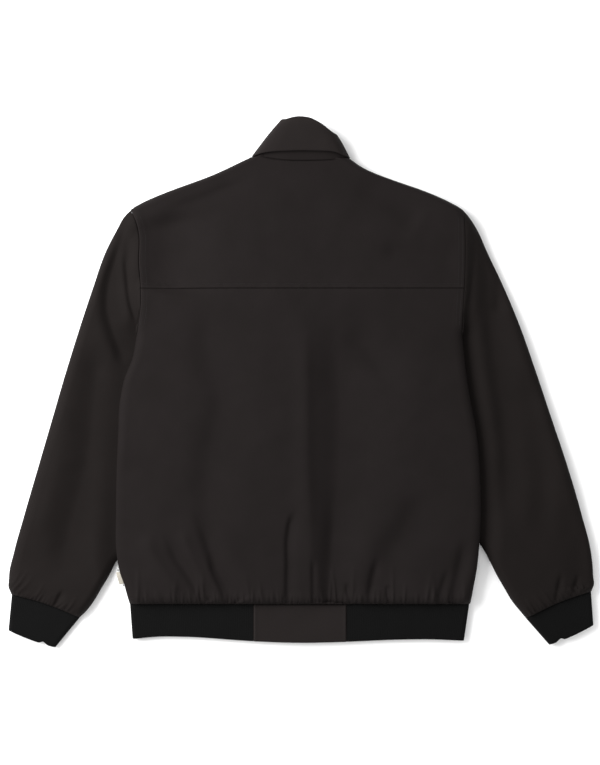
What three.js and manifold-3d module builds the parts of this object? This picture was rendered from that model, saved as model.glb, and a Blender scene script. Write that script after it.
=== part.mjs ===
// Bomber jacket laid flat on its front, back up.
// Millimetres. +X towards the wearer's right, +Y towards the collar, +Z up from the surface it lies on.
// The origin is under the middle of the jacket, on that surface.
import * as THREE from 'three';
import Module from 'manifold-3d';
import { mergeVertices } from 'three/addons/utils/BufferGeometryUtils.js';

const wasm = await Module();
wasm.setup();

// ---- driving sizes ----
const shellWall = 1.8;      // shell cloth, with its turnings
const knitWall = 2.6;       // rib knit, folded double
const collarWall = 2.2;     // collar cloth, two plies
const seamGap = 0.4;        // clear gap between two sewn pieces
const bodyTop = 27;         // height of the back over the surface
const sleeveTop = 21;       // height of a sleeve where it lies free
const tuckedTop = 10.2;     // height of a sleeve where the body lies on it
const bodyLift = 12;      // height of the fronts where they lie on a sleeve
const ribTop = 12.5;        // height of the hem rib
const cuffTop = 12;         // height of the cuff rib
const closureLift = 4.2;    // height of the fronts beside the zip and the neck
const closureHalf = 5.5;    // from the middle of the zip to each front's edge
const tabHalf = 66;         // half the width of the plain tab in the back of the hem
const ribFootY = -360;      // lower end of the zip
const sideRound = 13;       // how far in from the side the back is level
const hemY = -314.2;        // seam between shell and rib
const yokeY = 134.3;        // seam between back panel and yoke
const armpitY = 72;
const tipY = 245;           // shoulder tip, top of the armhole
const neckY = 316;          // where the shoulder seam meets the collar
const frontNeckY = 236;     // neckline at the middle of the front
const hemRound = 26;        // length over which the shell drops to the rib

// ---- the outline of the body: each row from the left edge to the right edge ----
const bodyRows = [
  { y: hemY, left: -242.6, right: 242.4 },
  { y: -309, left: -243.8, right: 243.3 },
  { y: -299, left: -246.5, right: 245.1 },
  { y: -286, left: -249.9, right: 247.4 },
  { y: -264, left: -256.8, right: 250.9 },
  { y: -238, left: -260.6, right: 253.7 },
  { y: -185, left: -261.0, right: 256.4 },
  { y: -125, left: -260.2, right: 255.0 },
  { y: -72, left: -258.0, right: 250.4 },
  { y: -25, left: -255.4, right: 241.8 },
  { y: 8, left: -248.3, right: 236.4 },
  { y: 34, left: -238.0, right: 233.2 },
  { y: 55, left: -233.6, right: 231.0 },
  { y: armpitY, left: -231.0, right: 229.6 },
  { y: 80, left: -229.6, right: 229.6 },
  { y: 92, left: -227.6, right: 229.8 },
  { y: 112, left: -225.4, right: 230.9 },
  { y: yokeY, left: -225.6, right: 232.2 },
  { y: 172, left: -228.4, right: 233.5 },
  { y: 210, left: -228.2, right: 233.4 },
  { y: 230, left: -232.8, right: 232.8 },
  { y: 240, left: -237.4, right: 232.4 },
  { y: tipY, left: -240.4, right: 232.2 },
  { y: 254, left: -228.2, right: 218.2 },
  { y: 271, left: -189.8, right: 181.2 },
  { y: 288, left: -143.4, right: 133.0 },
  { y: 305, left: -98.4, right: 88.4 },
  { y: neckY, left: -72.0, right: 71.0 },
];
const armpitRow = bodyRows.findIndex((row) => row.y === armpitY);
const yokeRow = bodyRows.findIndex((row) => row.y === yokeY);
const tipRow = bodyRows.findIndex((row) => row.y === tipY);

// ---- the outline of each sleeve: outer edge from shoulder tip to cuff, inner edge from armpit to cuff ----
const sleeves = {
  left: {
    side: -1,
    outer: [
      [-240.4, 245], [-248.5, 236], [-258, 220], [-276.2, 186], [-294.7, 134.9], [-311.7, 83.8], [-333, 15.6],
      [-352.9, -52.5], [-372.8, -120.7], [-392.6, -188.9], [-406.8, -240], [-413.9, -274], [-410.6, -300.8],
    ],
    inner: [
      [-231.4, 72], [-232, 60], [-229, 47], [-220, 25], [-206, -4], [-190, -42], [-182, -85], [-188, -135],
      [-212, -188], [-240, -229], [-260.6, -252.2], [-271.9, -274], [-282, -291], [-292, -308],
      [-304.6, -325], [-313.6, -333.6],
    ],
    cuff: { outerEnd: [-415.4, -352], innerEnd: [-348.6, -376.4], seamBow: 3.2 },
  },
  right: {
    side: 1,
    outer: [
      [232.2, 245], [239.8, 236], [250.6, 220], [266.3, 186], [290.4, 134.9], [311.7, 83.8], [335.8, 15.6],
      [358.6, -52.5], [381.3, -120.7], [401.2, -188.9], [413.9, -240], [416.8, -274], [414.6, -296.4],
    ],
    inner: [
      [229.6, 72], [229.2, 60], [227, 47], [219, 25], [205, -4], [189, -42], [180, -85], [185, -130],
      [206, -175], [234, -207], [255.5, -228.1], [272, -257], [280.5, -274], [290.4, -291], [300.3, -308],
      [321.8, -334.8],
    ],
    cuff: { outerEnd: [418, -344.5], innerEnd: [355.1, -372.8], seamBow: 3.4 },
  },
};
// A sleeve's rings, from the armhole to the cuff: the share of the inner and of the outer edge's length.
const sleeveRings = [
  { inner: 0, outer: 0 }, { inner: 0.025, outer: 0.05 }, { inner: 0.05, outer: 0.11 },
  { inner: 0.09, outer: 0.18 }, { inner: 0.14, outer: 0.25 }, { inner: 0.21, outer: 0.32 },
  { inner: 0.29, outer: 0.39 }, { inner: 0.38, outer: 0.47 }, { inner: 0.48, outer: 0.55 },
  { inner: 0.58, outer: 0.63 }, { inner: 0.68, outer: 0.72 }, { inner: 0.77, outer: 0.8 },
  { inner: 0.855, outer: 0.87 }, { inner: 0.93, outer: 0.935 }, { inner: 0.97, outer: 0.972 },
  { inner: 1, outer: 1 },
];

// ---- the largest folds: lines that a trough or a ridge follows, its depth and half its width ----
const backFolds = [
  { depth: 4.2, half: 13, line: [[20, 111], [33, 40], [34, -101], [37, -210], [39, -264], [34, -306]] },
  { depth: 2.2, half: 15, line: [[42, 78], [84, 36], [123, -4]] },
  { depth: 2.8, half: 18,
    line: [[-148, 116], [-143, 34], [-127, -14], [-148, -74], [-148, -177], [-121, -221]] },
  { depth: 3.0, half: 9, line: [[-140, -224], [-130, -250], [-123, -277], [-115, -306]] },
  { depth: 2.4, half: 9, line: [[-183, -234], [-174, -260], [-149, -288], [-137, -306]] },
  { depth: -1.6, half: 12, line: [[-217, -238], [-205, -260], [-183, -284]] },
  { depth: 2.6, half: 10, line: [[-206, 222], [-209, 190], [-207, 152]] },
  { depth: 2.2, half: 12, line: [[161, -156], [145, -226], [107, -264]] },
  { depth: 2.4, half: 9, line: [[200, -306], [211, -290], [221, -268]] },
];
const sleeveFolds = [
  { depth: 3.4, half: 9, line: [[-257, 222], [-268, 160], [-281, 94], [-262, 58], [-243, 28]] },
  { depth: 2.6, half: 15, line: [[-300, -4], [-317, -145], [-344, -237]] },
  { depth: 3.2, half: 9, line: [[237, 211], [242, 168], [238, 110], [235, 84]] },
  { depth: 2.4, half: 14, line: [[298, -30], [298, -120], [284, -210]] },
  { depth: 2.0, half: 10, line: [[352, -120], [366, -200], [384, -270]] },
];

// ---- small tools ----
const mix = (a, b, t) => a + (b - a) * t;
const clamp = (t) => Math.min(1, Math.max(0, t));
const soft = (t) => clamp(t) ** 2 * (3 - 2 * clamp(t));
const quarter = (t) => Math.sqrt(1 - (1 - clamp(t)) ** 2);   // height of a quarter circle, 0 to 1
const point = (x, y, z) => new THREE.Vector3(x, y, z);

// A table's value between its rows, for one column.
function lookUp(rows, y, column) {
  let k = 0;
  while (k < rows.length - 2 && y > rows[k + 1].y) k++;
  return mix(rows[k][column], rows[k + 1][column], clamp((y - rows[k].y) / (rows[k + 1].y - rows[k].y)));
}

// The point at a share of a line's length.
function along(line, share) {
  const lengths = line.slice(1).map((p, k) => Math.hypot(p[0] - line[k][0], p[1] - line[k][1]));
  let rest = share * lengths.reduce((sum, length) => sum + length, 0);
  let k = 0;
  while (k < lengths.length - 1 && rest > lengths[k]) rest -= lengths[k++];
  const t = clamp(rest / lengths[k]);
  return [mix(line[k][0], line[k + 1][0], t), mix(line[k][1], line[k + 1][1], t)];
}

function distanceTo(line, x, y) {
  let best = Infinity;
  for (let k = 0; k < line.length - 1; k++) {
    const [ax, ay] = line[k];
    const [bx, by] = line[k + 1];
    const t = clamp(((x - ax) * (bx - ax) + (y - ay) * (by - ay)) / ((bx - ax) ** 2 + (by - ay) ** 2));
    best = Math.min(best, Math.hypot(x - mix(ax, bx, t), y - mix(ay, by, t)));
  }
  return best;
}

const foldDepth = (folds, x, y) => folds.reduce(
  (sum, fold) => sum + fold.depth * Math.exp(-((distanceTo(fold.line, x, y) / fold.half) ** 2)), 0);

// ---- heights of the body ----
const edgeX = (side, y) => lookUp(bodyRows, y, side < 0 ? 'left' : 'right');
const innerEdges = [sleeves.left, sleeves.right].map((sleeve) => ({
  side: sleeve.side,
  rows: sleeve.inner.map(([x, y]) => ({ x, y })).reverse(),
}));

// How far the fronts are lifted by the sleeve under them.
function liftBySleeve(x, y) {
  const { side, rows } = innerEdges[x < 0 ? 0 : 1];
  const overSleeve = side * (x - lookUp(rows, y, 'x')) + 54;
  return bodyLift * soft(overSleeve / 32) * (1 - soft((y - armpitY) / 38)) * soft((y - hemY - 14) / 36);
}

function bottomHeight(x, y, neckLine) {
  const closure = closureLift * Math.max(
    1 - soft((Math.abs(x) - closureHalf - 1) / 24),
    soft((y - neckLine + 34) / 30));
  return Math.max(liftBySleeve(x, y), closure);
}

const hemDrop = (y) => quarter((y - hemY) / hemRound);
function topHeight(x, y) {
  const level = bodyTop - 2 * soft((y - 180) / 130) - foldDepth(backFolds, x, y);
  return mix(ribTop, level, hemDrop(y));
}

const seamHeight = (side, y) => {
  const x = edgeX(side, y);
  return 0.5 * (topHeight(x, y) + liftBySleeve(x, y));
};

// 0 where back and front meet at the side or shoulder seam, 1 where the sleeve holds them full apart.
const armholeOpen = (y) => quarter((y - armpitY) / 36) * quarter((tipY - y) / 24);

// ---- cloth walls ----
// A grid of outer points becomes points with outward normals. first and last may give the direction
// of the surface across the grid at its first and last column, where it turns round an edge.
function withNormals(points, { ring = false, turned = false, first, last } = {}) {
  return points.map((row, i) => row.map((p, j) => {
    const up = points[Math.min(i + 1, points.length - 1)][j].clone().sub(points[Math.max(i - 1, 0)][j]);
    const count = row.length;
    const next = row[ring ? (j + 1) % count : Math.min(j + 1, count - 1)];
    const before = row[ring ? (j + count - 1) % count : Math.max(j - 1, 0)];
    let across = next.clone().sub(before);
    if (first && j === 0) across = first(i, across);
    if (last && j === count - 1) across = last(i, across);
    const normal = across.cross(up).normalize();
    return { p, n: turned ? normal.negate() : normal };
  }));
}

function signedVolume(positions, index) {
  const corner = (k) => new THREE.Vector3().fromArray(positions, 3 * index[k]);
  let sum = 0;
  for (let k = 0; k < index.length; k += 3) sum += corner(k).dot(corner(k + 1).cross(corner(k + 2)));
  return sum / 6;
}

// A closed wall: the outer grid, the same grid moved in by the thickness, and the rims between them.
function wall(grid, thickness, ring = false) {
  const rows = grid.length;
  const cols = grid[0].length;
  const positions = [];
  for (const depth of [0, thickness]) {
    for (const row of grid) {
      for (const { p, n } of row) positions.push(...p.clone().addScaledVector(n, -depth).toArray());
    }
  }
  const outer = (i, j) => i * cols + (j % cols);
  const inner = (i, j) => rows * cols + outer(i, j);
  const index = [];
  const quad = (a, b, c, d) => index.push(a, b, c, a, c, d);
  const lastCol = ring ? cols : cols - 1;
  for (let i = 0; i < rows - 1; i++) {
    for (let j = 0; j < lastCol; j++) {
      quad(outer(i, j), outer(i, j + 1), outer(i + 1, j + 1), outer(i + 1, j));
      quad(inner(i, j), inner(i + 1, j), inner(i + 1, j + 1), inner(i, j + 1));
    }
  }
  for (let j = 0; j < lastCol; j++) {
    quad(outer(0, j + 1), outer(0, j), inner(0, j), inner(0, j + 1));
    quad(outer(rows - 1, j), outer(rows - 1, j + 1), inner(rows - 1, j + 1), inner(rows - 1, j));
  }
  for (let i = 0; i < rows - 1 && !ring; i++) {
    quad(outer(i, 0), outer(i + 1, 0), inner(i + 1, 0), inner(i, 0));
    quad(outer(i + 1, cols - 1), outer(i, cols - 1), inner(i, cols - 1), inner(i + 1, cols - 1));
  }
  if (signedVolume(positions, index) < 0) index.reverse();
  const geometry = new THREE.BufferGeometry();
  geometry.setAttribute('position', new THREE.Float32BufferAttribute(positions, 3));
  geometry.setIndex(index);
  geometry.computeVertexNormals();
  return geometry;
}

// ---- finishes ----
const finishes = {
  shell: { color: 0x2a2726, roughness: 0.88, metalness: 0 },
  knit: { color: 0x1c1b1b, roughness: 0.95, metalness: 0 },
  tape: { color: 0x1a1919, roughness: 0.9, metalness: 0 },
  zip: { color: 0x3a3a3c, roughness: 0.35, metalness: 1 },
  label: { color: 0xd9d2c0, roughness: 0.85, metalness: 0 },
};
const jacket = new THREE.Group();
function addMesh(name, geometry, finish) {
  const mesh = new THREE.Mesh(geometry, new THREE.MeshStandardMaterial(finishes[finish]));
  mesh.name = name;
  jacket.add(mesh);
}

// ---- the body: back panel, yoke and two fronts share the side and shoulder edges ----
// Places across the body, in mm from its middle at its full half width, closest along the folds.
const acrossBack = [-202, -176, -152, -132, -108, -72, -34, 0, 18, 33, 48, 76, 112, 148, 182, 204];
const acrossFront = [14, 30, 66, 108, 138, 162, 188];
const levelHalf = 218;                                  // where the level middle meets the rolled edge
const edgeTurn = [0, 30, 60, 90].map((degrees) => THREE.MathUtils.degToRad(degrees));

// How far in from the edge the surface turns level: longer where the edge slants, on the shoulders.
const tipRound = 24;        // the roll at the shoulder tip
const neckRound = 15;       // and beside the neck
const shoulderShare = (i) => (i - tipRow) / (bodyRows.length - 1 - tipRow);
const turnLength = (i) => (i <= tipRow ? sideRound : mix(tipRound, neckRound, shoulderShare(i)));

// Shares of a row's half width, from the edge in, of the columns that turn round the edge.
const turnShares = (i, width) => edgeTurn.map((angle) => turnLength(i) * (1 - Math.cos(angle)) / width);

function heightAtEdge(side, y, level, turn) {
  const seam = seamHeight(side, y);
  const edge = mix(seam, level, armholeOpen(y));
  return mix(edge, level, Math.sin(turn));
}

// The seam of back and collar: nearly level behind the neck, rising to each shoulder.
const neckSeam = [
  { x: -72, y: 319.6 }, { x: -65.5, y: 319.8 }, { x: -58, y: 320.6 }, { x: -52, y: 320.6 },
  { x: -44, y: 318.8 }, { x: -34, y: 317 }, { x: -21, y: 315.9 }, { x: 0, y: 315.2 }, { x: 30, y: 315.6 },
  { x: 44, y: 316.2 }, { x: 56, y: 317.4 }, { x: 63, y: 318 }, { x: 71, y: 318.4 },
];
const neckRaise = (i, x) => (i === bodyRows.length - 1 ? lookUp(neckSeam, x, 'y') - neckY : 0);

function backPoint(i, x, turn, side) {
  const row = bodyRows[i];
  return point(x, row.y + neckRaise(i, x), heightAtEdge(side, row.y, topHeight(x, row.y), turn));
}

function backGrid(from, to) {
  const points = [];
  for (let i = from; i <= to; i++) {
    const { left, right } = bodyRows[i];
    const width = right - left;
    const shares = turnShares(i, width);
    const level = acrossBack.map((x) => mix(shares[3], 1 - shares[3], (x + levelHalf) / (2 * levelHalf)));
    points.push([
      ...shares.map((share, k) => backPoint(i, mix(left, right, share), edgeTurn[k], -1)),
      ...level.map((share) => backPoint(i, mix(left, right, share), Math.PI / 2, share < 0.5 ? -1 : 1)),
      ...shares.map((share, k) => backPoint(i, mix(right, left, share), edgeTurn[k], 1)).reverse(),
    ]);
  }
  const turnUp = (i, across) => point(0, 0, 1).lerp(across.normalize(), armholeOpen(bodyRows[from + i].y));
  const turnDown = (i, across) => point(0, 0, -1).lerp(across.normalize(), armholeOpen(bodyRows[from + i].y));
  const grid = withNormals(points, { first: turnUp, last: turnDown });
  const atArmhole = grid.filter((row, i) => isArmholeRow(from + i));
  atArmhole.forEach((row) => [row[0], row[row.length - 1]].forEach(squareEdge));
  return grid;
}

// Rows of the front bend down from the shoulders to the lower neckline.
const middleY = (y) => (y < yokeY ? y : mix(yokeY, frontNeckY, (y - yokeY) / (neckY - yokeY)));
const neckCurve = 2.4;      // how late the front neckline turns up to the shoulder
const neckHalf = 71;
const towardEdge = (x, half) => clamp(Math.abs(x / half)) ** neckCurve;
const neckLineAt = (x) => mix(frontNeckY, neckY, towardEdge(x, neckHalf));

function frontPoint(side, i, share, turn) {
  const row = bodyRows[i];
  const edge = side < 0 ? row.left : row.right;
  const x = mix(edge, side * closureHalf, share);
  const out = towardEdge(x, edge);
  const y = mix(middleY(row.y), row.y, out) + neckRaise(i, x) * out;
  return point(x, y, heightAtEdge(side, row.y, bottomHeight(x, y, neckLineAt(x)), turn));
}

function frontGrid(side) {
  const points = bodyRows.map((row, i) => {
    const width = Math.abs(side < 0 ? row.left : row.right) - closureHalf;
    const shares = turnShares(i, width);
    const fromZip = (x) => (x - closureHalf) / (levelHalf - closureHalf);
    const level = acrossFront.map((x) => mix(1, shares[3], fromZip(x))).reverse();
    const line = [
      ...shares.map((share, k) => frontPoint(side, i, share, edgeTurn[k])),
      ...level.map((share) => frontPoint(side, i, share, Math.PI / 2)),
      frontPoint(side, i, 1, Math.PI / 2),
    ];
    return line;
  });
  const turn = (i, across) => point(0, 0, -1).lerp(across.normalize(), armholeOpen(bodyRows[i].y));
  const grid = withNormals(points, { first: turn, turned: side < 0 });
  grid.filter((row, i) => isArmholeRow(i)).forEach((row) => squareEdge(row[0]));
  return grid;
}

// Along an armhole both walls end in one upright plane, so that they meet edge to edge.
function squareEdge({ n }) {
  n.setX(0).normalize();
}
const isArmholeRow = (i) => i > armpitRow && i < tipRow;

// Moves the first or last row or column of a grid back from the seam line by half the seam's gap.
function trim(grid, { firstRow, lastRow, firstCol, lastCol }) {
  const half = seamGap / 2;
  const pull = (edge, next) => {
    const step = next.p.clone().sub(edge.p).normalize().multiplyScalar(half);
    edge.p = edge.p.clone().add(step);
  };
  const last = grid.length - 1;
  if (firstRow) grid[0].forEach((edge, j) => pull(edge, grid[1][j]));
  if (lastRow) grid[last].forEach((edge, j) => pull(edge, grid[last - 1][j]));
  if (firstCol) grid.forEach((row) => pull(row[0], row[1]));
  if (lastCol) grid.forEach((row) => pull(row[row.length - 1], row[row.length - 2]));
  return grid;
}

const topRow = bodyRows.length - 1;
const sideSeams = { firstCol: true, lastCol: true };
const rowSeams = { firstRow: true, lastRow: true };
const addShell = (name, grid) => addMesh(name, wall(grid, shellWall), 'shell');
addShell('back_panel', trim(backGrid(0, yokeRow), { ...sideSeams, ...rowSeams }));
addShell('back_yoke', trim(backGrid(yokeRow, topRow), { ...sideSeams, ...rowSeams }));
addShell('front_left', trim(frontGrid(-1), { firstCol: true, ...rowSeams }));
addShell('front_right', trim(frontGrid(1), { firstCol: true, ...rowSeams }));

// ---- sleeves ----
const armholeRows = bodyRows.slice(armpitRow, tipRow + 1);
const acrossSleeve = armholeRows.map((row) => (row.y - armpitY) / (tipY - armpitY));   // 0 armpit, 1 tip

function sleevePlan(sleeve, share, ring) {
  const w = ring.outer;
  const [ax, ay] = along(sleeve.inner, ring.inner);
  const [bx, by] = along(sleeve.outer, ring.outer);
  const edge = edgeX(sleeve.side, mix(armpitY, tipY, share));
  const straight = mix(sleeve.inner[0][0], sleeve.outer[0][0], share);
  const bow = (edge - straight) * (1 - soft(w / 0.2));
  const cuffBow = sleeve.cuff.seamBow * Math.sin(Math.PI * share) * soft((w - 0.8) / 0.2);
  return [mix(ax, bx, share) + bow, mix(ay, by, share) + cuffBow];
}

function sleeveHeight(sleeve, share, ring, x, y, isTop) {
  const { side } = sleeve;
  const w = ring.outer;
  const [ax, ay] = along(sleeve.inner, ring.inner);
  const [bx, by] = along(sleeve.outer, ring.outer);
  const width = Math.hypot(bx - ax, by - ay);
  // free of the body the sleeve fills out, and under it the sleeve is pressed down
  const outside = side * (x - edgeX(side, y));
  const pressed = (1 - soft(outside / 34)) * (1 - soft((y - armpitY + 8) / 46));
  const full = mix(bodyTop - 1, sleeveTop, soft(w / 0.3)) - foldDepth(sleeveFolds, x, y);
  const toCuff = quarter((1 - w) / 0.05);
  const level = mix(cuffTop, mix(full, tuckedTop, pressed), toCuff);
  const innerMid = mix(0.5 * cuffTop, 0.5 * tuckedTop, toCuff);
  const outerMid = mix(0.5 * cuffTop, 0.46 * sleeveTop, toCuff);
  const turnIn = quarter(share * width / 12);
  const turnOut = quarter((1 - share) * width / 16);
  const mid = share < 0.5 ? innerMid : outerMid;
  const own = mix(mid, isTop ? level : 0, turnIn * turnOut);
  // the first ring follows the armhole of the body
  const atY = mix(armpitY, tipY, share);
  const atX = edgeX(side, atY);
  const bodyLevel = isTop ? topHeight(atX, atY) : bottomHeight(atX, atY, neckLineAt(atX));
  const armhole = mix(seamHeight(side, atY), bodyLevel, armholeOpen(atY));
  return mix(armhole, own, soft(w / mix(0.03, 0.12, clamp(share / 0.25))));
}

function sleeveGrid(sleeve) {
  const points = sleeveRings.map((ring, k) => {
    const ringPoint = (share, isTop) => {
      const [x, y] = sleevePlan(sleeve, share, ring);
      const aside = k === 0 ? sleeve.side * seamGap : 0;
      return point(x + aside, y, sleeveHeight(sleeve, share, ring, x, y, isTop));
    };
    return [
      ...acrossSleeve.map((share) => ringPoint(share, true)),
      ...acrossSleeve.slice(1, -1).reverse().map((share) => ringPoint(share, false)),
    ];
  });
  const grid = withNormals(points, { ring: true, turned: sleeve.side > 0 });
  grid[0].forEach(squareEdge);
  return grid;
}

for (const [name, sleeve] of Object.entries(sleeves)) {
  addMesh(`sleeve_${name}`, wall(sleeveGrid(sleeve), shellWall, true), 'shell');
}

// ---- rib cuffs ----
const cuffRings = [0, 0.5, 1];
function cuffGrid(sleeve) {
  const { side, cuff } = sleeve;
  const seamIn = sleeve.inner[sleeve.inner.length - 1];
  const seamOut = sleeve.outer[sleeve.outer.length - 1];
  const points = cuffRings.map((w) => {
    const [ax, ay] = along([seamIn, cuff.innerEnd], w);
    const [bx, by] = along([seamOut, cuff.outerEnd], w);
    const width = Math.hypot(bx - ax, by - ay);
    const ringPoint = (share, isTop) => {
      const turn = quarter(share * width / 7) * quarter((1 - share) * width / 7);
      const bow = cuff.seamBow * Math.sin(Math.PI * share) * (1 - w);
      const height = mix(0.5 * cuffTop, isTop ? cuffTop : 0, turn);
      const x = mix(ax, bx, share);
      return point(x, mix(ay, by, share) + bow - (w === 0 ? seamGap : 0), height);
    };
    return [
      ...acrossSleeve.map((share) => ringPoint(share, true)),
      ...acrossSleeve.slice(1, -1).reverse().map((share) => ringPoint(share, false)),
    ];
  });
  return withNormals(points, { ring: true, turned: side > 0 });
}
for (const [name, sleeve] of Object.entries(sleeves)) {
  addMesh(`cuff_${name}`, wall(cuffGrid(sleeve), knitWall, true), 'knit');
}


// ---- hem: two ribs from the back tab round the sides to the zip, and the tab ----
// The foot of the hem, which runs a little lower in the middle and at the right.
const hemFoot = [
  { y: -236, foot: -364 }, { y: -204, foot: -360 }, { y: -166, foot: -360 }, { y: -68, foot: -365 },
  { y: 0, foot: -367.5 }, { y: 68, foot: -365 }, { y: 130, foot: -363.4 }, { y: 177, foot: -364 },
  { y: 234, foot: -366.6 },
];
const footAt = (x) => lookUp(hemFoot, x, 'foot');
const hemSide = {
  left: { side: -1, seam: 242.2, foot: 238.6 },
  right: { side: 1, seam: 241.2, foot: 233.7 },
};
const hemRows = [0, 0.5, 1];
const hemTurn = [90, 60, 30, 0].map((degrees) => THREE.MathUtils.degToRad(degrees));

function hemGrid({ side, seam, foot }) {
  const radius = ribTop / 2;
  const place = (x, share, height) => {
    const seamY = hemY - seamGap;
    return point(side * x, mix(seamY, footAt(side * x), share), height);
  };
  const points = hemRows.map((share) => {
    const edge = mix(seam, foot, share);
    const turnX = (angle) => edge - radius * (1 - Math.cos(angle));
    const top = [tabHalf + seamGap, 110, 155, 200].map((x) => place(x, share, ribTop));
    const round = hemTurn.map((angle) => place(turnX(angle), share, radius * (1 + Math.sin(angle))));
    const under = hemTurn.slice(0, -1).reverse().map(
      (angle) => place(turnX(angle), share, radius * (1 - Math.sin(angle))));
    const front = [195, 130, 66, 30, 18, closureHalf].map((x) => {
      const lift = (closureLift - knitWall + shellWall) * (1 - soft((x - closureHalf - 1) / 24));
      return place(x, share, lift);
    });
    return [...top, ...round, ...under, ...front];
  });
  return withNormals(points, { turned: side > 0 });
}
for (const [name, half] of Object.entries(hemSide)) {
  addMesh(`hem_rib_${name}`, wall(hemGrid(half), knitWall), 'knit');
}

function tabGrid() {
  const columns = [-tabHalf, -22, 22, tabHalf];
  return withNormals([0, 0.5, 1].map((share) => columns.map(
    (x) => point(x, mix(footAt(x), hemY - seamGap / 2, share), ribTop + 0.6))));
}
addMesh('hem_tab', wall(tabGrid(), 2.4), 'shell');

// ---- collar: a stand sewn round the neck and a leaf that rolls over its top ----
// From the left end at the zip, round the back of the neck, to the right end.
// At the back stations the leaf falls to a tabled free edge.
const collarStations = [
  { neckX: -6.5, neckZ: 6, rollX: -6, rollY: 287, rollZ: 6.4 },
  { neckX: -24, neckZ: 6, rollX: -15, rollY: 292, rollZ: 6.8 },
  { neckX: -44, neckZ: 6.6, rollX: -25, rollY: 304, rollZ: 8 },
  { neckX: -58, neckZ: 8.2, rollX: -31, rollY: 324, rollZ: 10 },
  { neckX: -65, neckZ: 10.6, rollX: -31, rollY: 349, rollZ: 13.5 },
  { neckX: -65.5, neckZ: 14.5, rollX: -24, rollY: 367, rollZ: 18.5, leafX: -69.2, leafY: 322.2, leafZ: 11.6 },
  { neckX: -58, neckZ: 19.6, rollX: -20, rollY: 370, rollZ: 23.6, leafX: -59.5, leafY: 324.6, leafZ: 27 },
  { neckX: -44, neckZ: 22.2, rollX: -14, rollY: 372.4, rollZ: 26, leafX: -40, leafY: 327.4, leafZ: 31.6 },
  { neckX: -22, neckZ: 23.2, rollX: -7, rollY: 373.6, rollZ: 27, leafX: -16, leafY: 328.6, leafZ: 32.4 },
  { neckX: 2, neckZ: 23.2, rollX: 3, rollY: 373.8, rollZ: 27.2, leafX: 4, leafY: 328.9, leafZ: 32.6 },
  { neckX: 24, neckZ: 23.2, rollX: 16, rollY: 371.5, rollZ: 27, leafX: 26, leafY: 328.6, leafZ: 32.4 },
  { neckX: 44, neckZ: 22.2, rollX: 32, rollY: 363, rollZ: 26, leafX: 47, leafY: 327.4, leafZ: 31.6 },
  { neckX: 58, neckZ: 19.6, rollX: 43, rollY: 353.5, rollZ: 23.6, leafX: 60.5, leafY: 323, leafZ: 27 },
  { neckX: 66.5, neckZ: 14.5, rollX: 48, rollY: 346.5, rollZ: 18.5, leafX: 71.6, leafY: 319.8, leafZ: 11.3 },
  { neckX: 66, neckZ: 10.6, rollX: 43, rollY: 333, rollZ: 13.5 },
  { neckX: 58, neckZ: 8.2, rollX: 36, rollY: 316, rollZ: 10 },
  { neckX: 44, neckZ: 6.6, rollX: 27, rollY: 302, rollZ: 8 },
  { neckX: 24, neckZ: 6, rollX: 15, rollY: 292, rollZ: 6.8 },
  { neckX: 6.5, neckZ: 6, rollX: 6, rollY: 287, rollZ: 6.4 },
];
const collarGap = 1.6;                                  // air between stand and leaf
const collarThick = 2 * collarWall + collarGap;
const leafStart = 9;                                    // seam of stand and leaf, down from the roll
const frontDepth = 0.86;                                // share of the height that the leaf covers in front

function collarFrames() {
  const ends = collarStations.map((station) => {
    const raise = neckRaise(topRow, station.neckX);
    const neckLine = station.leafX !== undefined
      ? neckY + raise + seamGap
      : neckLineAt(station.neckX) + raise * towardEdge(station.neckX, neckHalf) + 2 * seamGap;
    return {
      station,
      neck: point(station.neckX, neckLine, station.neckZ),
      roll: point(station.rollX, station.rollY, station.rollZ),
    };
  });
  return ends.map(({ station, neck, roll }, k) => {
    const before = ends[Math.max(k - 1, 0)];
    const after = ends[Math.min(k + 1, ends.length - 1)];
    const height = neck.distanceTo(roll);
    const up = roll.clone().sub(neck).normalize();
    const round = after.neck.clone().sub(before.neck).add(after.roll).sub(before.roll);
    const out = round.cross(up).normalize();
    return { station, neck, height, up, out };
  });
}
// A point on the collar's outer face, and its normal: turn is 0 where it faces out and PI at the neck.
const collarPoint = ({ neck, up, out }, rise, offset, turn = 0) => ({
  p: neck.clone().addScaledVector(up, rise).addScaledVector(out, offset),
  n: out.clone().multiplyScalar(Math.cos(turn)).addScaledVector(up, Math.sin(turn)),
});

const frames = collarFrames();
const standGrid = [0, 0.5, 1].map((share) => frames.map(
  (frame) => collarPoint(frame, share * (frame.height - leafStart), collarWall)));
addMesh('collar_stand', wall(standGrid, collarWall), 'shell');

const rollRadius = collarThick / 2;
const rollTurns = [0, 45, 90, 135, 180].map((degrees) => THREE.MathUtils.degToRad(degrees));
const leafRise = (frame) => frame.height - leafStart + seamGap;
const leafBulge = 1.2;                                  // the fall arches a little between roll and edge

function fallPoint(frame, share) {
  const { leafX, leafY, leafZ } = frame.station;
  if (leafX === undefined) return collarPoint(frame, frame.height * (1 - share * frontDepth), collarThick);
  const { p, n } = collarPoint(frame, frame.height, collarThick);
  p.lerp(point(leafX, leafY, leafZ), share).addScaledVector(frame.out, leafBulge * Math.sin(Math.PI * share));
  return { p, n };
}

const leafGrid = [
  frames.map((frame) => collarPoint(frame, leafRise(frame), 0, Math.PI)),
  ...rollTurns.map((angle) => frames.map((frame) => {
    const rise = frame.height + rollRadius * Math.sin(angle);
    return collarPoint(frame, rise, rollRadius * (1 - Math.cos(angle)), Math.PI - angle);
  })),
  ...[0.5, 1].map((share) => frames.map((frame) => fallPoint(frame, share))),
];
addMesh('collar_leaf', wall(leafGrid, collarWall), 'shell');

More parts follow.
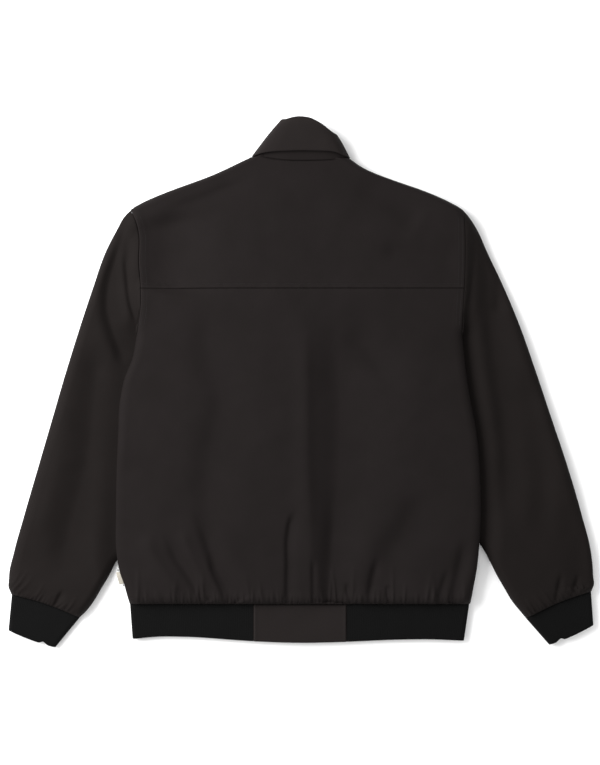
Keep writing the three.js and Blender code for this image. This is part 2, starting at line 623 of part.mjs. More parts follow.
// ---- zip: two tapes, the closed chain, the slider and its pull tab ----
const tapeBase = closureLift + shellWall + seamGap;      // the tapes lie on the inside of the fronts
const tapeWall = 1.1;
const tapeInner = 3.0;
const tapeOuter = 17;
const sliderEnd = 223.2;
const sliderLength = 12;
const tapeTopY = 234;

function box(width, length, height, x, y, z) {
  return new THREE.BoxGeometry(width, length, height).translate(x, y, z + height / 2);
}
for (const [name, side] of [['left', -1], ['right', 1]]) {
  const width = tapeOuter - tapeInner;
  const middle = side * (tapeInner + width / 2);
  const length = tapeTopY - ribFootY;
  addMesh(`zip_tape_${name}`, box(width, length, tapeWall, middle, ribFootY + length / 2, tapeBase), 'tape');
}
const chainLength = sliderEnd - seamGap - ribFootY;
addMesh('zip_chain', box(5.2, chainLength, 2.4, 0, ribFootY + chainLength / 2, tapeBase - 1.2), 'zip');

function solid(geometry) {
  const bare = geometry.clone();
  bare.deleteAttribute('normal');
  bare.deleteAttribute('uv');
  const merged = mergeVertices(bare, 1e-4);
  return new wasm.Manifold(new wasm.Mesh({
    numProp: 3,
    vertProperties: new Float32Array(merged.attributes.position.array),
    triVerts: new Uint32Array(merged.index.array),
  }));
}
function joined(geometries) {
  const mesh = geometries.map(solid).reduce((sum, next) => sum.add(next)).getMesh();
  const geometry = new THREE.BufferGeometry();
  geometry.setAttribute('position', new THREE.BufferAttribute(mesh.vertProperties, 3));
  geometry.setIndex(new THREE.BufferAttribute(mesh.triVerts, 1));
  geometry.computeVertexNormals();
  return geometry;
}

const sliderY = sliderEnd + sliderLength / 2;
const pullZ = 2.7;                                      // height of the pull's hinge
const outerPlate = { z: pullZ + 1, height: 2.1 };       // its face is under the jacket
const innerPlate = { z: tapeBase + tapeWall + 0.5, height: 1.4 };
addMesh('zip_slider', joined([
  box(9, sliderLength, outerPlate.height, 0, sliderY, outerPlate.z),
  box(9, sliderLength, innerPlate.height, 0, sliderY, innerPlate.z),
  box(2.8, 6, innerPlate.z - outerPlate.z, 0, sliderEnd + 8.5, outerPlate.z + 0.5),
  box(2.2, 1.4, 2.6, 0, sliderY - 4, outerPlate.z - 2.4),
  box(2.2, 1.4, 2.6, 0, sliderY + 4, outerPlate.z - 2.4),
  box(2.2, 9.4, 0.9, 0, sliderY, outerPlate.z - 2.9),
]), 'zip');

const pinRadius = 0.65;
const pullShape = new THREE.Shape();
pullShape.moveTo(-3.3, 0);
pullShape.lineTo(-3.3, -9);
pullShape.lineTo(-3.6, -12);
pullShape.lineTo(-2.8, -25);
pullShape.absarc(0, -25, 2.8, Math.PI, 2 * Math.PI);
pullShape.lineTo(3.6, -12);
pullShape.lineTo(3.3, -9);
pullShape.lineTo(3.3, 0);
pullShape.lineTo(1.7, 0);
pullShape.lineTo(1.7, -9);
pullShape.lineTo(-1.7, -9);
pullShape.lineTo(-1.7, 0);
pullShape.closePath();
const pullCut = { depth: 2 * pinRadius, bevelEnabled: false, curveSegments: 10 };
const pullPlate = new THREE.ExtrudeGeometry(pullShape, pullCut).translate(0, sliderY, pullZ - pinRadius);
const pullPin = new THREE.CylinderGeometry(pinRadius, pinRadius, 6.6, 12).rotateZ(Math.PI / 2)
  .translate(0, sliderY, pullZ);
addMesh('zip_pull', joined([pullPlate, pullPin]), 'zip');

// ---- side label: a folded woven tab held in the left side seam, just above the hem ----
const labelEnds = [{ y: -267.5, reach: 5.2 }, { y: -285, reach: 6.6 }];
const labelWall = 1.2;
const labelGrid = withNormals(labelEnds.map(({ y, reach }) => {
  const edge = edgeX(-1, y) - seamGap;
  const height = seamHeight(-1, y) + labelWall / 2;
  return [edge - reach, edge - reach / 2, edge].map((x) => point(x, y - 0.18 * (edge - x), height));
}), { turned: true });
addMesh('side_label', wall(labelGrid, labelWall), 'label');

export default jacket;
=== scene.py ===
import math
import bmesh
import bpy
import numpy as np
from mathutils import Matrix, Vector
from mathutils.bvhtree import BVHTree


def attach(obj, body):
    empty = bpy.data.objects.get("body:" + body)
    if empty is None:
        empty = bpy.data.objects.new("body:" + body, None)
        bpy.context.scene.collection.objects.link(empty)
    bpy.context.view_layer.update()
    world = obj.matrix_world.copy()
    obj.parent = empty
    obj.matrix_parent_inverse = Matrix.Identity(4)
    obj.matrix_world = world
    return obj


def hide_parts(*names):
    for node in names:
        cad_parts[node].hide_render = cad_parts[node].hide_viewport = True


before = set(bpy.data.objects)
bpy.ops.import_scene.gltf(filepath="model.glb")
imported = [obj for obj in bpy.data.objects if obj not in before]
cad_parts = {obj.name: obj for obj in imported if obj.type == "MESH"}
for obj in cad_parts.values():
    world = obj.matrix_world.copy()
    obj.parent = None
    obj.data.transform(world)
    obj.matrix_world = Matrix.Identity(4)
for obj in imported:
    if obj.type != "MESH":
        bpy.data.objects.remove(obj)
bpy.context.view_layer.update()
rng = np.random.default_rng(11)
millimetre = 0.001
print("frame loaded")


# small tools, all on arrays of millimetres

def mix(a, b, t):
    return a + (b - a) * t


def clamp(t):
    return np.clip(t, 0.0, 1.0)


def soft(t):
    t = clamp(t)
    return t * t * (3 - 2 * t)


def quarter(t):    # height of a quarter circle
    return np.sqrt(1 - (1 - clamp(t)) ** 2)


def bell(t):
    return np.exp(-t * t)


def dent(distance, depth, width, at=0):    # a narrow hollow or swelling that runs beside an edge
    return depth * bell((distance - at) / width)


def smoothCurve(at, values, t):    # a smooth line through a table's values
    at, values, t = np.asarray(at, float), np.asarray(values, float), np.asarray(t, float)
    slope = np.gradient(values, at)
    k = np.clip(np.searchsorted(at, t, side="right") - 1, 0, len(at) - 2)
    gap = at[k + 1] - at[k]
    s = clamp((t - at[k]) / gap)
    start = (1 + 2 * s) * (1 - s) ** 2 * values[k] + s * (1 - s) ** 2 * gap * slope[k]
    end = s * s * (3 - 2 * s) * values[k + 1] + s * s * (s - 1) * gap * slope[k + 1]
    return start + end


def lineShares(line):    # each point's share of the line's length
    line = np.asarray(line, float)
    steps = np.hypot(*np.diff(line, axis=0).T)
    return np.concatenate([[0], np.cumsum(steps)]) / steps.sum()


def along(line, share):    # the smooth line's point at a share of its length
    line = np.asarray(line, float)
    at = lineShares(line)
    return smoothCurve(at, line[:, 0], share), smoothCurve(at, line[:, 1], share)


def spread(length, step, near=(0,), far=None):    # places from 0 to length, closer together near the ends
    near = np.asarray(near, float)
    far = near if far is None else np.asarray(far, float)
    count = max(2, int(round((length - near[-1] - far[-1]) / step)))
    middle = np.linspace(near[-1], length - far[-1], count + 1)
    return np.concatenate([near[:-1], middle, (length - far[:-1])[::-1]])


def rowShares(length, step, near, far=None):
    return (spread(length, step, near, far) / length)[:, None]


# a fold is a soft trough along a line, or a ridge where its depth is negative. It has half widths to the
# west and to the east, and it fades in and out over shares of its length

foldShape = {"points": 26, "reach": 3, "fade": (0.2, 0.2), "leastFade": 1e-3}


def foldField(folds, x, y):
    total = np.zeros(np.broadcast(x, y).shape)
    for fold in folds:
        px, py = along(fold["line"], np.linspace(0, 1, foldShape["points"]))
        west, east = fold["half"]
        reach = foldShape["reach"] * max(west, east)
        near = (x > px.min() - reach) & (x < px.max() + reach)
        near = near & (y > py.min() - reach) & (y < py.max() + reach)
        qx, qy = x[near], y[near]
        best = np.full(qx.shape, math.inf)
        side = np.zeros(qx.shape)
        share = np.zeros(qx.shape)
        for k in range(len(px) - 1):
            dx, dy = px[k + 1] - px[k], py[k + 1] - py[k]
            t = clamp(((qx - px[k]) * dx + (qy - py[k]) * dy) / (dx * dx + dy * dy))
            away = np.hypot(qx - px[k] - t * dx, qy - py[k] - t * dy)
            closer = away < best
            best = np.where(closer, away, best)
            side = np.where(closer, dx * (qy - py[k]) - dy * (qx - px[k]), side)
            share = np.where(closer, (k + t) / (len(px) - 1), share)
        width = np.where(side > 0, east, west)
        fadeIn, fadeOut = [max(run, foldShape["leastFade"]) for run in fold.get("fade", foldShape["fade"])]
        fade = soft(share / fadeIn) * soft((1 - share) / fadeOut)
        total[near] += fold["depth"] * fade * bell(best / width)
    return total


gatherShape = {"tallWidth": 1.25, "widening": 0.9, "fade": 1.2, "foot": 0.35, "footRun": 5}


def gathers(start, end, settings):    # short creases along a seam that takes up extra cloth
    creases = []
    at = start
    while at < end:
        gap = rng.uniform(*settings["gap"])
        at += gap
        tall = rng.random() < settings["tallShare"]
        creases.append({
            "at": at,
            "length": rng.uniform(*settings["tall"]) if tall else rng.uniform(*settings["short"]),
            "width": rng.uniform(*settings["width"]) * (gatherShape["tallWidth"] if tall else 1.0),
            "height": rng.uniform(*settings["height"]),
            "lean": rng.uniform(-settings["lean"], settings["lean"]),
        })
    return creases


def gatherField(creases, place, rise):    # place runs along the seam, rise away from it
    total = np.zeros(np.broadcast(place, rise).shape)
    foot = gatherShape["foot"]
    for crease in creases:
        t = clamp(rise / crease["length"])
        middle = crease["at"] + crease["lean"] * rise
        width = crease["width"] * (1 + gatherShape["widening"] * t)
        pinched = crease["height"] * (foot + (1 - foot) * soft(rise / gatherShape["footRun"]))
        total += pinched * (1 - t) ** gatherShape["fade"] * bell((place - middle) / width)
    return total


def ripple(seed, waves, longest, shortest, height):
    # the slight unevenness of cloth that lies free; a ripple setting holds all of these but the seed
    draw = np.random.default_rng(seed)
    lengths = np.exp(draw.uniform(math.log(shortest), math.log(longest), waves))
    angles = draw.uniform(0, math.pi, waves)
    phases = draw.uniform(0, 2 * math.pi, waves)
    bends = draw.uniform(0.3, 1.0, waves)

    def field(x, y):
        total = np.zeros(np.broadcast(x, y).shape)
        for length, angle, phase, bend in zip(lengths, angles, phases, bends):
            run = (x * math.cos(angle) + y * math.sin(angle)) / length * 2 * math.pi
            turn = (y * math.cos(angle) - x * math.sin(angle)) / length * math.pi
            total += length / longest * np.sin(run + phase + bend * np.sin(turn + 2 * phase))
        return height * total / math.sqrt(waves)
    return field


# making a piece of cloth from a grid of points on its outer face

def gridNormals(points, ring):
    if ring:
        loop = points[:, :-1]
        across = np.roll(loop, -1, axis=1) - np.roll(loop, 1, axis=1)
        across = np.concatenate([across, across[:, :1]], axis=1)
    else:
        across = np.gradient(points, axis=1)
    normals = np.cross(across, np.gradient(points, axis=0))
    return normals / np.maximum(np.linalg.norm(normals, axis=2, keepdims=True), 1e-9)


def addPiece(mesh, material, smooth=True):
    if smooth:
        mesh.shade_smooth()
    mesh.materials.append(material)
    piece = bpy.data.objects.new(mesh.name, mesh)
    bpy.context.scene.collection.objects.link(piece)
    return piece


mergeWithin = 1e-6    # metres


def clothPiece(name, points, wall, material, flat=None, ring=False, faceTo=None, wearAndHighlight=None):
    flat = (points[:, :, 0], points[:, :, 1]) if flat is None else flat
    rows, cols = points.shape[:2]
    bm = bmesh.new()
    bmesh.ops.create_grid(bm, x_segments=cols - 1, y_segments=rows - 1, size=1.0)
    mesh = bpy.data.meshes.new(name)
    bm.to_mesh(mesh)
    co = np.zeros(3 * len(mesh.vertices))
    mesh.vertices.foreach_get("co", co)
    co = co.reshape(-1, 3)
    col = np.rint((co[:, 0] + 1) / 2 * (cols - 1)).astype(int)
    row = np.rint((co[:, 1] + 1) / 2 * (rows - 1)).astype(int)
    mesh.vertices.foreach_set("co", (points[row, col] * millimetre).ravel())
    corners = np.zeros(len(mesh.loops), int)
    mesh.loops.foreach_get("vertex_index", corners)
    layer = mesh.uv_layers.new(name="UVMap")
    place = np.stack([flat[0][row, col], flat[1][row, col]], axis=1) * millimetre
    layer.uv.foreach_set("vector", place[corners].ravel())
    if wearAndHighlight is None:
        wearAndHighlight = np.zeros((rows, cols))
    # this layer holds real wear along seams and edges, and painted light with a painted highlight on the
    # collar's leaf
    paleTone = mesh.attributes.new("wearAndHighlight", "FLOAT", "POINT")
    paleTone.data.foreach_set("value", wearAndHighlight[row, col].ravel())
    bm.clear()
    bm.from_mesh(mesh)
    if ring:
        bmesh.ops.remove_doubles(bm, verts=bm.verts, dist=mergeWithin)
    bm.normal_update()
    if faceTo is None:
        inside = bm.calc_volume(signed=True) < 0
    else:
        inside = sum((f.normal * f.calc_area() for f in bm.faces), Vector()).dot(Vector(faceTo)) < 0
    if inside:
        bmesh.ops.reverse_faces(bm, faces=bm.faces)
    bm.to_mesh(mesh)
    bm.free()
    piece = addPiece(mesh, material)
    walls = piece.modifiers.new("Wall", "SOLIDIFY")
    walls.thickness = wall * millimetre
    walls.offset = -1
    return piece


def outerFace(piece):    # the piece's outer face, to lay stitches on
    bm = bmesh.new()
    bm.from_mesh(piece.data)
    tree = BVHTree.FromBMesh(bm)
    bm.free()
    return tree


def addMesh(name, bm, material, smooth=True):
    mesh = bpy.data.meshes.new(name)
    bm.to_mesh(mesh)
    bm.free()
    return addPiece(mesh, material, smooth)


def keep(piece, node):
    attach(piece, "jacket")
    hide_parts(node)


# materials

def hexColour(code):    # an sRGB hex value, made linear
    channels = [int(code[k:k + 2], 16) / 255 for k in (0, 2, 4)]
    return tuple(c / 12.92 if c <= 0.04045 else ((c + 0.055) / 1.055) ** 2.4 for c in channels) + (1.0,)


def addNode(tree, kind, settings=None, links=None):    # a node given as a source stands for its first output
    node = tree.nodes.new(kind)
    for key, value in (settings or {}).items():
        if isinstance(key, int) or key in node.inputs:
            node.inputs[key].default_value = value
        else:
            setattr(node, key, value)
    for key, source in (links or {}).items():
        socket = source.outputs[0] if isinstance(source, bpy.types.Node) else source
        tree.links.new(socket, node.inputs[key])
    return node


def newMaterial(name):
    material = bpy.data.materials.new(name)
    material.use_nodes = True
    material.node_tree.nodes.clear()
    return material, material.node_tree


def addShader(tree, look, blend, height, rubbedAndLit=None, links=None):    # two tones, and a pale tone where rubbed and where a painted highlight lies
    colour = addNode(tree, "ShaderNodeMix", {
        "data_type": "RGBA", "clamp_factor": True, 6: hexColour(look["dark"]), 7: hexColour(look["light"]),
    }, {0: blend}).outputs[2]
    if rubbedAndLit is not None:
        colour = addNode(tree, "ShaderNodeMix", {
            "data_type": "RGBA", "clamp_factor": True, 7: hexColour(look["paleTone"]),
        }, {0: rubbedAndLit, 6: colour}).outputs[2]
    bump = addNode(tree, "ShaderNodeBump", look["bump"], {"Height": height})
    links = {"Base Color": colour, "Normal": bump, **(links or {})}
    shader = addNode(tree, "ShaderNodeBsdfPrincipled", look["shader"], links)
    addNode(tree, "ShaderNodeOutputMaterial", links={"Surface": shader})


def placeOn(tree, space):    # millimetres along the cloth for UV, or across the whole jacket for Object
    place = addNode(tree, "ShaderNodeTexCoord").outputs[space]
    return addNode(tree, "ShaderNodeMapping", {"Scale": (1000, 1000, 1000)}, {"Vector": place})


def threadWaves(tree, place, pitches):    # a sine along each direction, one swing for each pitch
    turns = [2 * math.pi / pitch for pitch in pitches]
    phase = addNode(tree, "ShaderNodeVectorMath", {"operation": "MULTIPLY", 1: (*turns, 0)}, {0: place})
    swings = addNode(tree, "ShaderNodeVectorMath", {"operation": "SINE"}, {0: phase})
    split = addNode(tree, "ShaderNodeSeparateXYZ", links={0: swings})
    return split.outputs["X"], split.outputs["Y"]


shellLook = {
    # the pale third tone shows real rubbing on seams and edges, and painted light and a painted highlight on
    # the collar's leaf
    "dark": "100d0c", "light": "191515", "paleTone": "211d1c",
    "thread": 0.7,          # mm; real yarn lies at 0.35 mm, drawn twice as coarse to show
    "patch": 46, "speck": 1.7,    # sizes in mm
    "patchShare": 0.6, "speckShare": 0.25,
    "slubs": (1.1, 0.05, 1.0),    # to a millimetre, across and along the yarn
    "slubShare": 0.15, "slubRelief": 0.8,
    "bump": {"Strength": 0.35, "Distance": 0.00006},
    "shader": {"Roughness": 0.82, "Specular IOR Level": 0.08, "Sheen Weight": 0.035, "Sheen Roughness": 0.45,
               "Sheen Tint": hexColour("6a625e")},
}


def makeShell(name, look):
    # peached polyester-cotton poplin, plain woven: matt and warm black, a soft bloom where it turns away
    material, tree = newMaterial(name)
    place, whole = placeOn(tree, "UV"), placeOn(tree, "Object")
    warp, weft = threadWaves(tree, place, (look["thread"], look["thread"]))
    weave = addNode(tree, "ShaderNodeMath", {"operation": "MULTIPLY"}, {0: warp, 1: weft})
    patch, speck = 1 / look["patch"], 1 / look["speck"]
    patches = addNode(tree, "ShaderNodeTexNoise", {"Scale": patch, "Detail": 3.0}, {"Vector": whole})
    specks = addNode(tree, "ShaderNodeTexNoise", {"Scale": speck, "Detail": 2.0}, {"Vector": place})
    stretch = addNode(tree, "ShaderNodeMapping", {"Scale": look["slubs"]}, {"Vector": place})
    slubs = addNode(tree, "ShaderNodeTexNoise", {"Scale": 1.0, "Detail": 2.0}, {"Vector": stretch})
    blend = addNode(tree, "ShaderNodeMath", {"operation": "MULTIPLY", 1: look["patchShare"]}, {0: patches})
    for noise, share in ((specks, look["speckShare"]), (slubs, look["slubShare"])):
        blend = addNode(tree, "ShaderNodeMath", {
            "operation": "MULTIPLY_ADD", 1: share,
        }, {0: noise, 2: blend})
    # the pale tone follows the mesh layer: real wear at seams, painted light and a painted highlight on the
    # collar's leaf, mottled by the specks
    wearAndHighlight = addNode(tree, "ShaderNodeAttribute", {"attribute_name": "wearAndHighlight"})
    rubbedAndLit = addNode(tree, "ShaderNodeMath", {"operation": "MULTIPLY"}, {0: wearAndHighlight.outputs["Fac"], 1: specks})
    height = addNode(tree, "ShaderNodeMath", {
        "operation": "MULTIPLY_ADD", 1: look["slubRelief"],
    }, {0: slubs, 2: weave})
    addShader(tree, look, blend, height, rubbedAndLit)
    return material


knitLook = {
    "dark": "080808", "light": "101010", "rib": 2.6, "course": 1.9,    # pitches in mm
    "fibres": 1.6,    # to a millimetre
    "loopLean": 0.45, "fibreShare": 0.8, "loopShare": 0.1, "loopRelief": 0.6, "fibreRelief": 0.8,
    "bump": {"Strength": 0.5, "Distance": 0.00025},
    "shader": {"Roughness": 0.92, "Specular IOR Level": 0.055, "Sheen Weight": 0.04, "Sheen Roughness": 0.5,
               "Sheen Tint": hexColour("4c4a4a")},
}


def makeKnit(name, look):
    # one-and-one rib knit in cotton and elastane: deeper black than the shell, dull, with small vee loops
    material, tree = newMaterial(name)
    place = placeOn(tree, "UV")
    swing = threadWaves(tree, place, (look["rib"], look["course"]))[0]
    lean = addNode(tree, "ShaderNodeMath", {"operation": "ABSOLUTE"}, {0: swing})
    rise = addNode(tree, "ShaderNodeSeparateXYZ", links={0: place}).outputs["Y"]
    courses = addNode(tree, "ShaderNodeMath", {"operation": "DIVIDE", 1: look["course"]}, {0: rise})
    leaning = addNode(tree, "ShaderNodeMath", {
        "operation": "MULTIPLY_ADD", 1: look["loopLean"],
    }, {0: lean, 2: courses})
    phase = addNode(tree, "ShaderNodeMath", {"operation": "MULTIPLY", 1: 2 * math.pi}, {0: leaning})
    loops = addNode(tree, "ShaderNodeMath", {"operation": "SINE"}, {0: phase})
    fibres = addNode(tree, "ShaderNodeTexNoise", {"Scale": look["fibres"], "Detail": 4.0}, {"Vector": place})
    mixed = []
    for fibre, loop in ((look["fibreShare"], look["loopShare"]), (look["fibreRelief"], look["loopRelief"])):
        part = addNode(tree, "ShaderNodeMath", {"operation": "MULTIPLY", 1: fibre}, {0: fibres})
        mixed.append(addNode(tree, "ShaderNodeMath", {
            "operation": "MULTIPLY_ADD", 1: loop,
        }, {0: loops, 2: part}))
    blend, height = mixed
    addShader(tree, look, blend, height)
    return material


threadLook = {
    "dark": "120f0f", "light": "1c1818", "ply": 0.35, "twistShare": 0.3,    # the ply is in mm
    "bump": {"Strength": 0.4, "Distance": 0.00008}, "shader": {"Roughness": 0.55, "Specular IOR Level": 0.3},
}


def makeThread(name, look):
    # spun polyester sewing thread: a little glossier and lighter than the cloth, with a visible twist
    material, tree = newMaterial(name)
    turn = 2 * math.pi / look["ply"]
    phase = addNode(tree, "ShaderNodeVectorMath", {
        "operation": "DOT_PRODUCT", 1: (turn, turn, 0),
    }, {0: placeOn(tree, "Object")})
    twist = addNode(tree, "ShaderNodeMath", {"operation": "SINE"}, {0: phase.outputs["Value"]})
    blend = addNode(tree, "ShaderNodeMath", {"operation": "MULTIPLY", 1: look["twistShare"]}, {0: twist})
    addShader(tree, look, blend, twist)
    return material


tapeLook = {
    "dark": "151414", "light": "242222", "rib": 1.4, "pick": 0.84,    # pitches in mm
    "pickRelief": 0.5, "reliefShare": 0.2, "ribShare": 0.1,
    "bump": {"Strength": 0.5, "Distance": 0.00015}, "shader": {"Roughness": 0.85},
}


def makeTape(name, look):
    # woven polyester zip tape: fine ribs along its length, slightly shiny
    material, tree = newMaterial(name)
    ribs, picks = threadWaves(tree, placeOn(tree, "Object"), (look["rib"], look["pick"]))
    height = addNode(tree, "ShaderNodeMath", {
        "operation": "MULTIPLY_ADD", 1: look["pickRelief"],
    }, {0: picks, 2: ribs})
    blend = addNode(tree, "ShaderNodeMath", {"operation": "MULTIPLY", 1: look["reliefShare"]}, {0: height})
    blend = addNode(tree, "ShaderNodeMath", {
        "operation": "MULTIPLY_ADD", 1: look["ribShare"],
    }, {0: ribs, 2: blend})
    addShader(tree, look, blend, height)
    return material


metalLook = {
    "dark": "4a4846", "light": "6e6b68", "scratches": (6.0, 0.35, 6.0),    # to a millimetre, long along Y
    "leastRoughness": 0.24, "roughnessRange": 0.2,
    "bump": {"Strength": 0.2, "Distance": 0.00004}, "shader": {"Metallic": 1.0},
}


def makeMetal(name, look):
    # gunmetal-plated zinc, die cast and brushed: dark grey mirror with fine scratches along its length
    material, tree = newMaterial(name)
    place = placeOn(tree, "Object")
    stretch = addNode(tree, "ShaderNodeMapping", {"Scale": look["scratches"]}, {"Vector": place})
    scratches = addNode(tree, "ShaderNodeTexNoise", {"Scale": 1.0, "Detail": 4.0}, {"Vector": stretch})
    rough = addNode(tree, "ShaderNodeMath", {
        "operation": "MULTIPLY_ADD", 1: look["roughnessRange"], 2: look["leastRoughness"],
    }, {0: scratches})
    addShader(tree, look, scratches, scratches, links={"Roughness": rough})
    return material


labelLook = {
    "dark": "959086", "light": "b4aea2", "warp": 0.8, "weft": 0.56,    # pitches in mm
    "soil": 0.25,    # to a millimetre
    "weftRelief": 0.5, "reliefShare": 0.06,
    "bump": {"Strength": 0.4, "Distance": 0.0001}, "shader": {"Roughness": 0.6},
}


def makeLabel(name, look):
    # woven polyester satin ribbon, cream and bare: a slight gloss across fine threads
    material, tree = newMaterial(name)
    place = placeOn(tree, "UV")
    warp, weft = threadWaves(tree, place, (look["warp"], look["weft"]))
    height = addNode(tree, "ShaderNodeMath", {
        "operation": "MULTIPLY_ADD", 1: look["weftRelief"],
    }, {0: weft, 2: warp})
    soil = addNode(tree, "ShaderNodeTexNoise", {"Scale": look["soil"], "Detail": 3.0}, {"Vector": place})
    blend = addNode(tree, "ShaderNodeMath", {
        "operation": "MULTIPLY_ADD", 1: look["reliefShare"],
    }, {0: height, 2: soil})
    addShader(tree, look, blend, height)
    return material


shellCloth = makeShell("shell_poplin_peached", shellLook)
# the same cloth painted darker for the sleeves: painted shade, where the sleeves slope away from the key
# light
shadedSleeveLook = {**shellLook, "dark": "0f0c0b", "light": "171312",
              "shader": {**shellLook["shader"], "Sheen Weight": 0.029}}
shadedSleeveCloth = makeShell("sleeve_poplin_painted_shade", shadedSleeveLook)
ribKnit = makeKnit("rib_knit_one_by_one", knitLook)
sewingThread = makeThread("polyester_thread", threadLook)
zipTape = makeTape("zip_tape_woven", tapeLook)
zipMetal = makeMetal("gunmetal_brushed", metalLook)
labelCloth = makeLabel("label_satin_cream", labelLook)
print("materials made")


# the body: its outline, heights and folds

body = {
    "wall": 1.8, "top": 27, "topFall": 2, "topFallFrom": 180, "topFallRun": 130, "ribTop": 12.5,
    "hemY": -314.2, "yokeY": 134.3, "armpitY": 72, "tipY": 245, "neckY": 316, "frontNeckY": 236,
    "neckHalf": 71, "neckBend": 2.4, "closureLift": 4.2, "closureHalf": 5.5, "closureRun": 24,
    "neckLiftFrom": 34, "neckLiftRun": 30, "hemRound": 14, "sideRound": 13, "shoulderRound": (24, 15),
    "shoulderRun": 12, "gap": 0.4, "step": 5.0, "halfWidth": 243,
    "panelAcross": 1.3, "yokeAcross": 2.0, "frontAcross": 3.0,
}
halfGap = body["gap"] / 2
outline = {
    "y": [-314.2, -309, -299, -286, -264, -238, -185, -125, -72, -25, 8, 34, 55, 72, 80, 92, 112, 134.3,
          172, 210, 230, 240, 245, 254, 271, 288, 305, 316],
    "left": [-242.6, -243.8, -246.5, -249.9, -256.8, -260.6, -261.0, -260.2, -258.0, -255.4, -248.3, -238.0,
             -233.6, -231.0, -229.6, -227.6, -225.4, -225.6, -228.4, -228.2, -232.8, -237.6, -241.2, -228.2,
             -189.8, -143.4, -98.4, -72.0],
    "right": [242.4, 243.3, 245.1, 247.4, 250.9, 253.7, 256.4, 255.0, 250.4, 241.8, 236.4, 233.2, 231.0,
              229.6, 229.6, 229.8, 230.9, 232.2, 233.5, 233.4, 232.8, 232.4, 232.2, 218.2, 181.2, 133.0,
              88.4, 71.0],
}
sleeves = {
    "left": {
        "side": -1,
        "outer": [(-241.2, 245), (-250, 236), (-259.2, 220), (-276.6, 186), (-294.7, 134.9), (-311.7, 83.8),
                  (-333, 15.6), (-352.9, -52.5), (-372.8, -120.7), (-392.6, -188.9), (-406.8, -240),
                  (-413.9, -274), (-410.6, -300.8)],
        "inner": [(-231.4, 72), (-232, 60), (-229, 47), (-220, 25), (-206, -4), (-190, -42), (-182, -85),
                  (-188, -135), (-212, -188), (-240, -229), (-260.6, -252.2), (-271.9, -274), (-282, -291),
                  (-292, -308), (-304.6, -325), (-313.6, -333.6)],
        "cuffOuter": (-415.4, -352), "cuffInner": (-348.6, -376.4), "seamBow": 3.2,
        "seed": 21, "cuffSeed": 41,
    },
    "right": {
        "side": 1,
        "outer": [(232.2, 245), (239.8, 236), (250.6, 220), (266.3, 186), (290.4, 134.9), (311.7, 83.8),
                  (335.8, 15.6), (358.6, -52.5), (381.3, -120.7), (401.2, -188.9), (413.9, -240),
                  (416.8, -274), (414.6, -296.4)],
        "inner": [(229.6, 72), (229.2, 60), (227, 47), (219, 25), (205, -4), (189, -42), (180, -85),
                  (185, -130), (206, -175), (234, -207), (255.5, -228.1), (272, -257), (280.5, -274),
                  (290.4, -291), (300.3, -308), (321.8, -334.8)],
        "cuffOuter": (418, -344.5), "cuffInner": (355.1, -372.8), "seamBow": 3.4,
        "seed": 34, "cuffSeed": 42,
    },
}
backFolds = [
    {"depth": 11.5, "half": (30, 64), "fade": (0.3, 0.25),
     "line": [(48, 126), (53, 60), (58, -20), (57, -100), (53, -180), (48, -240)]},
    {"depth": 9.5, "half": (15, 34), "fade": (0.5, 0.0),
     "line": [(50, -140), (48, -210), (44, -264), (41, -312)]},
    {"depth": -2.6, "half": (14, 10), "line": [(6, 100), (8, 20), (9, -100), (13, -210), (15, -306)]},
    {"depth": 3.8, "half": (16, 24), "fade": (0.35, 0.4),
     "line": [(66, 88), (92, 54), (120, 16), (138, -18)]},
    {"depth": 4.4, "half": (22, 40),
     "line": [(-132, 128), (-128, 40), (-110, -20), (-122, -80), (-128, -180), (-114, -230)]},
    {"depth": 5.4, "half": (8, 16), "fade": (0.35, 0.0),
     "line": [(-150, -176), (-134, -216), (-121, -252), (-104, -286), (-90, -312)]},
    {"depth": 2.6, "half": (4, 7), "fade": (0.35, 0.0),
     "line": [(-131, -238), (-121, -270), (-110, -294), (-104, -312)]},
    {"depth": 4.2, "half": (7, 14), "fade": (0.35, 0.0),
     "line": [(-192, -206), (-176, -244), (-154, -278), (-134, -312)]},
    {"depth": -2.8, "half": (12, 10), "line": [(-221, -210), (-208, -244), (-184, -280), (-170, -308)]},
    {"depth": -2.2, "half": (9, 8), "line": [(-170, -206), (-154, -246), (-131, -298)]},
    {"depth": 4.6, "half": (1, 46), "line": [(-263, -90), (-264, -180), (-262, -250), (-252, -300)]},
    {"depth": 11.0, "half": (44, 50), "line": [(-190, 246), (-182, 200), (-184, 165), (-194, 120)]},
    {"depth": 2.6, "half": (8, 12), "fade": (0.3, 0.3),
     "line": [(-64, 286), (-100, 276), (-150, 256), (-204, 238)]},
    {"depth": 3.4, "half": (22, 26), "line": [(84, 288), (128, 258), (172, 222)]},
    {"depth": -1.6, "half": (26, 26), "fade": (0.3, 0.3), "line": [(-30, 286), (-26, 236), (-22, 186)]},
    {"depth": 2.4, "half": (12, 16), "line": [(112, 188), (170, 180), (226, 170)]},
    {"depth": 6.4, "half": (22, 32), "fade": (0.35, 0.1),
     "line": [(184, -136), (156, -200), (126, -250), (108, -306)]},
    {"depth": 4.2, "half": (8, 11), "fade": (0.4, 0.0), "line": [(236, -214), (226, -262), (214, -312)]},
    {"depth": 2.8, "half": (5, 7), "fade": (0.4, 0.0), "line": [(212, -258), (202, -288), (194, -312)]},
    {"depth": 3.8, "half": (4, 10), "fade": (0.15, 0.0),
     "line": [(0, -184), (-11, -192), (-16, -212), (-17, -260), (-18, -312)]},
    {"depth": 2.4, "half": (3, 5), "fade": (0.3, 0.0), "line": [(18, -244), (19, -312)]},
    {"depth": 3.4, "half": (5, 7), "fade": (0.4, 0.0), "line": [(112, -240), (102, -280), (97, -312)]},
    {"depth": 2.4, "half": (3, 5), "fade": (0.3, 0.0), "line": [(65, -282), (71, -312)]},
    {"depth": 2.4, "half": (3, 5), "fade": (0.3, 0.0), "line": [(124, -284), (125, -312)]},
]
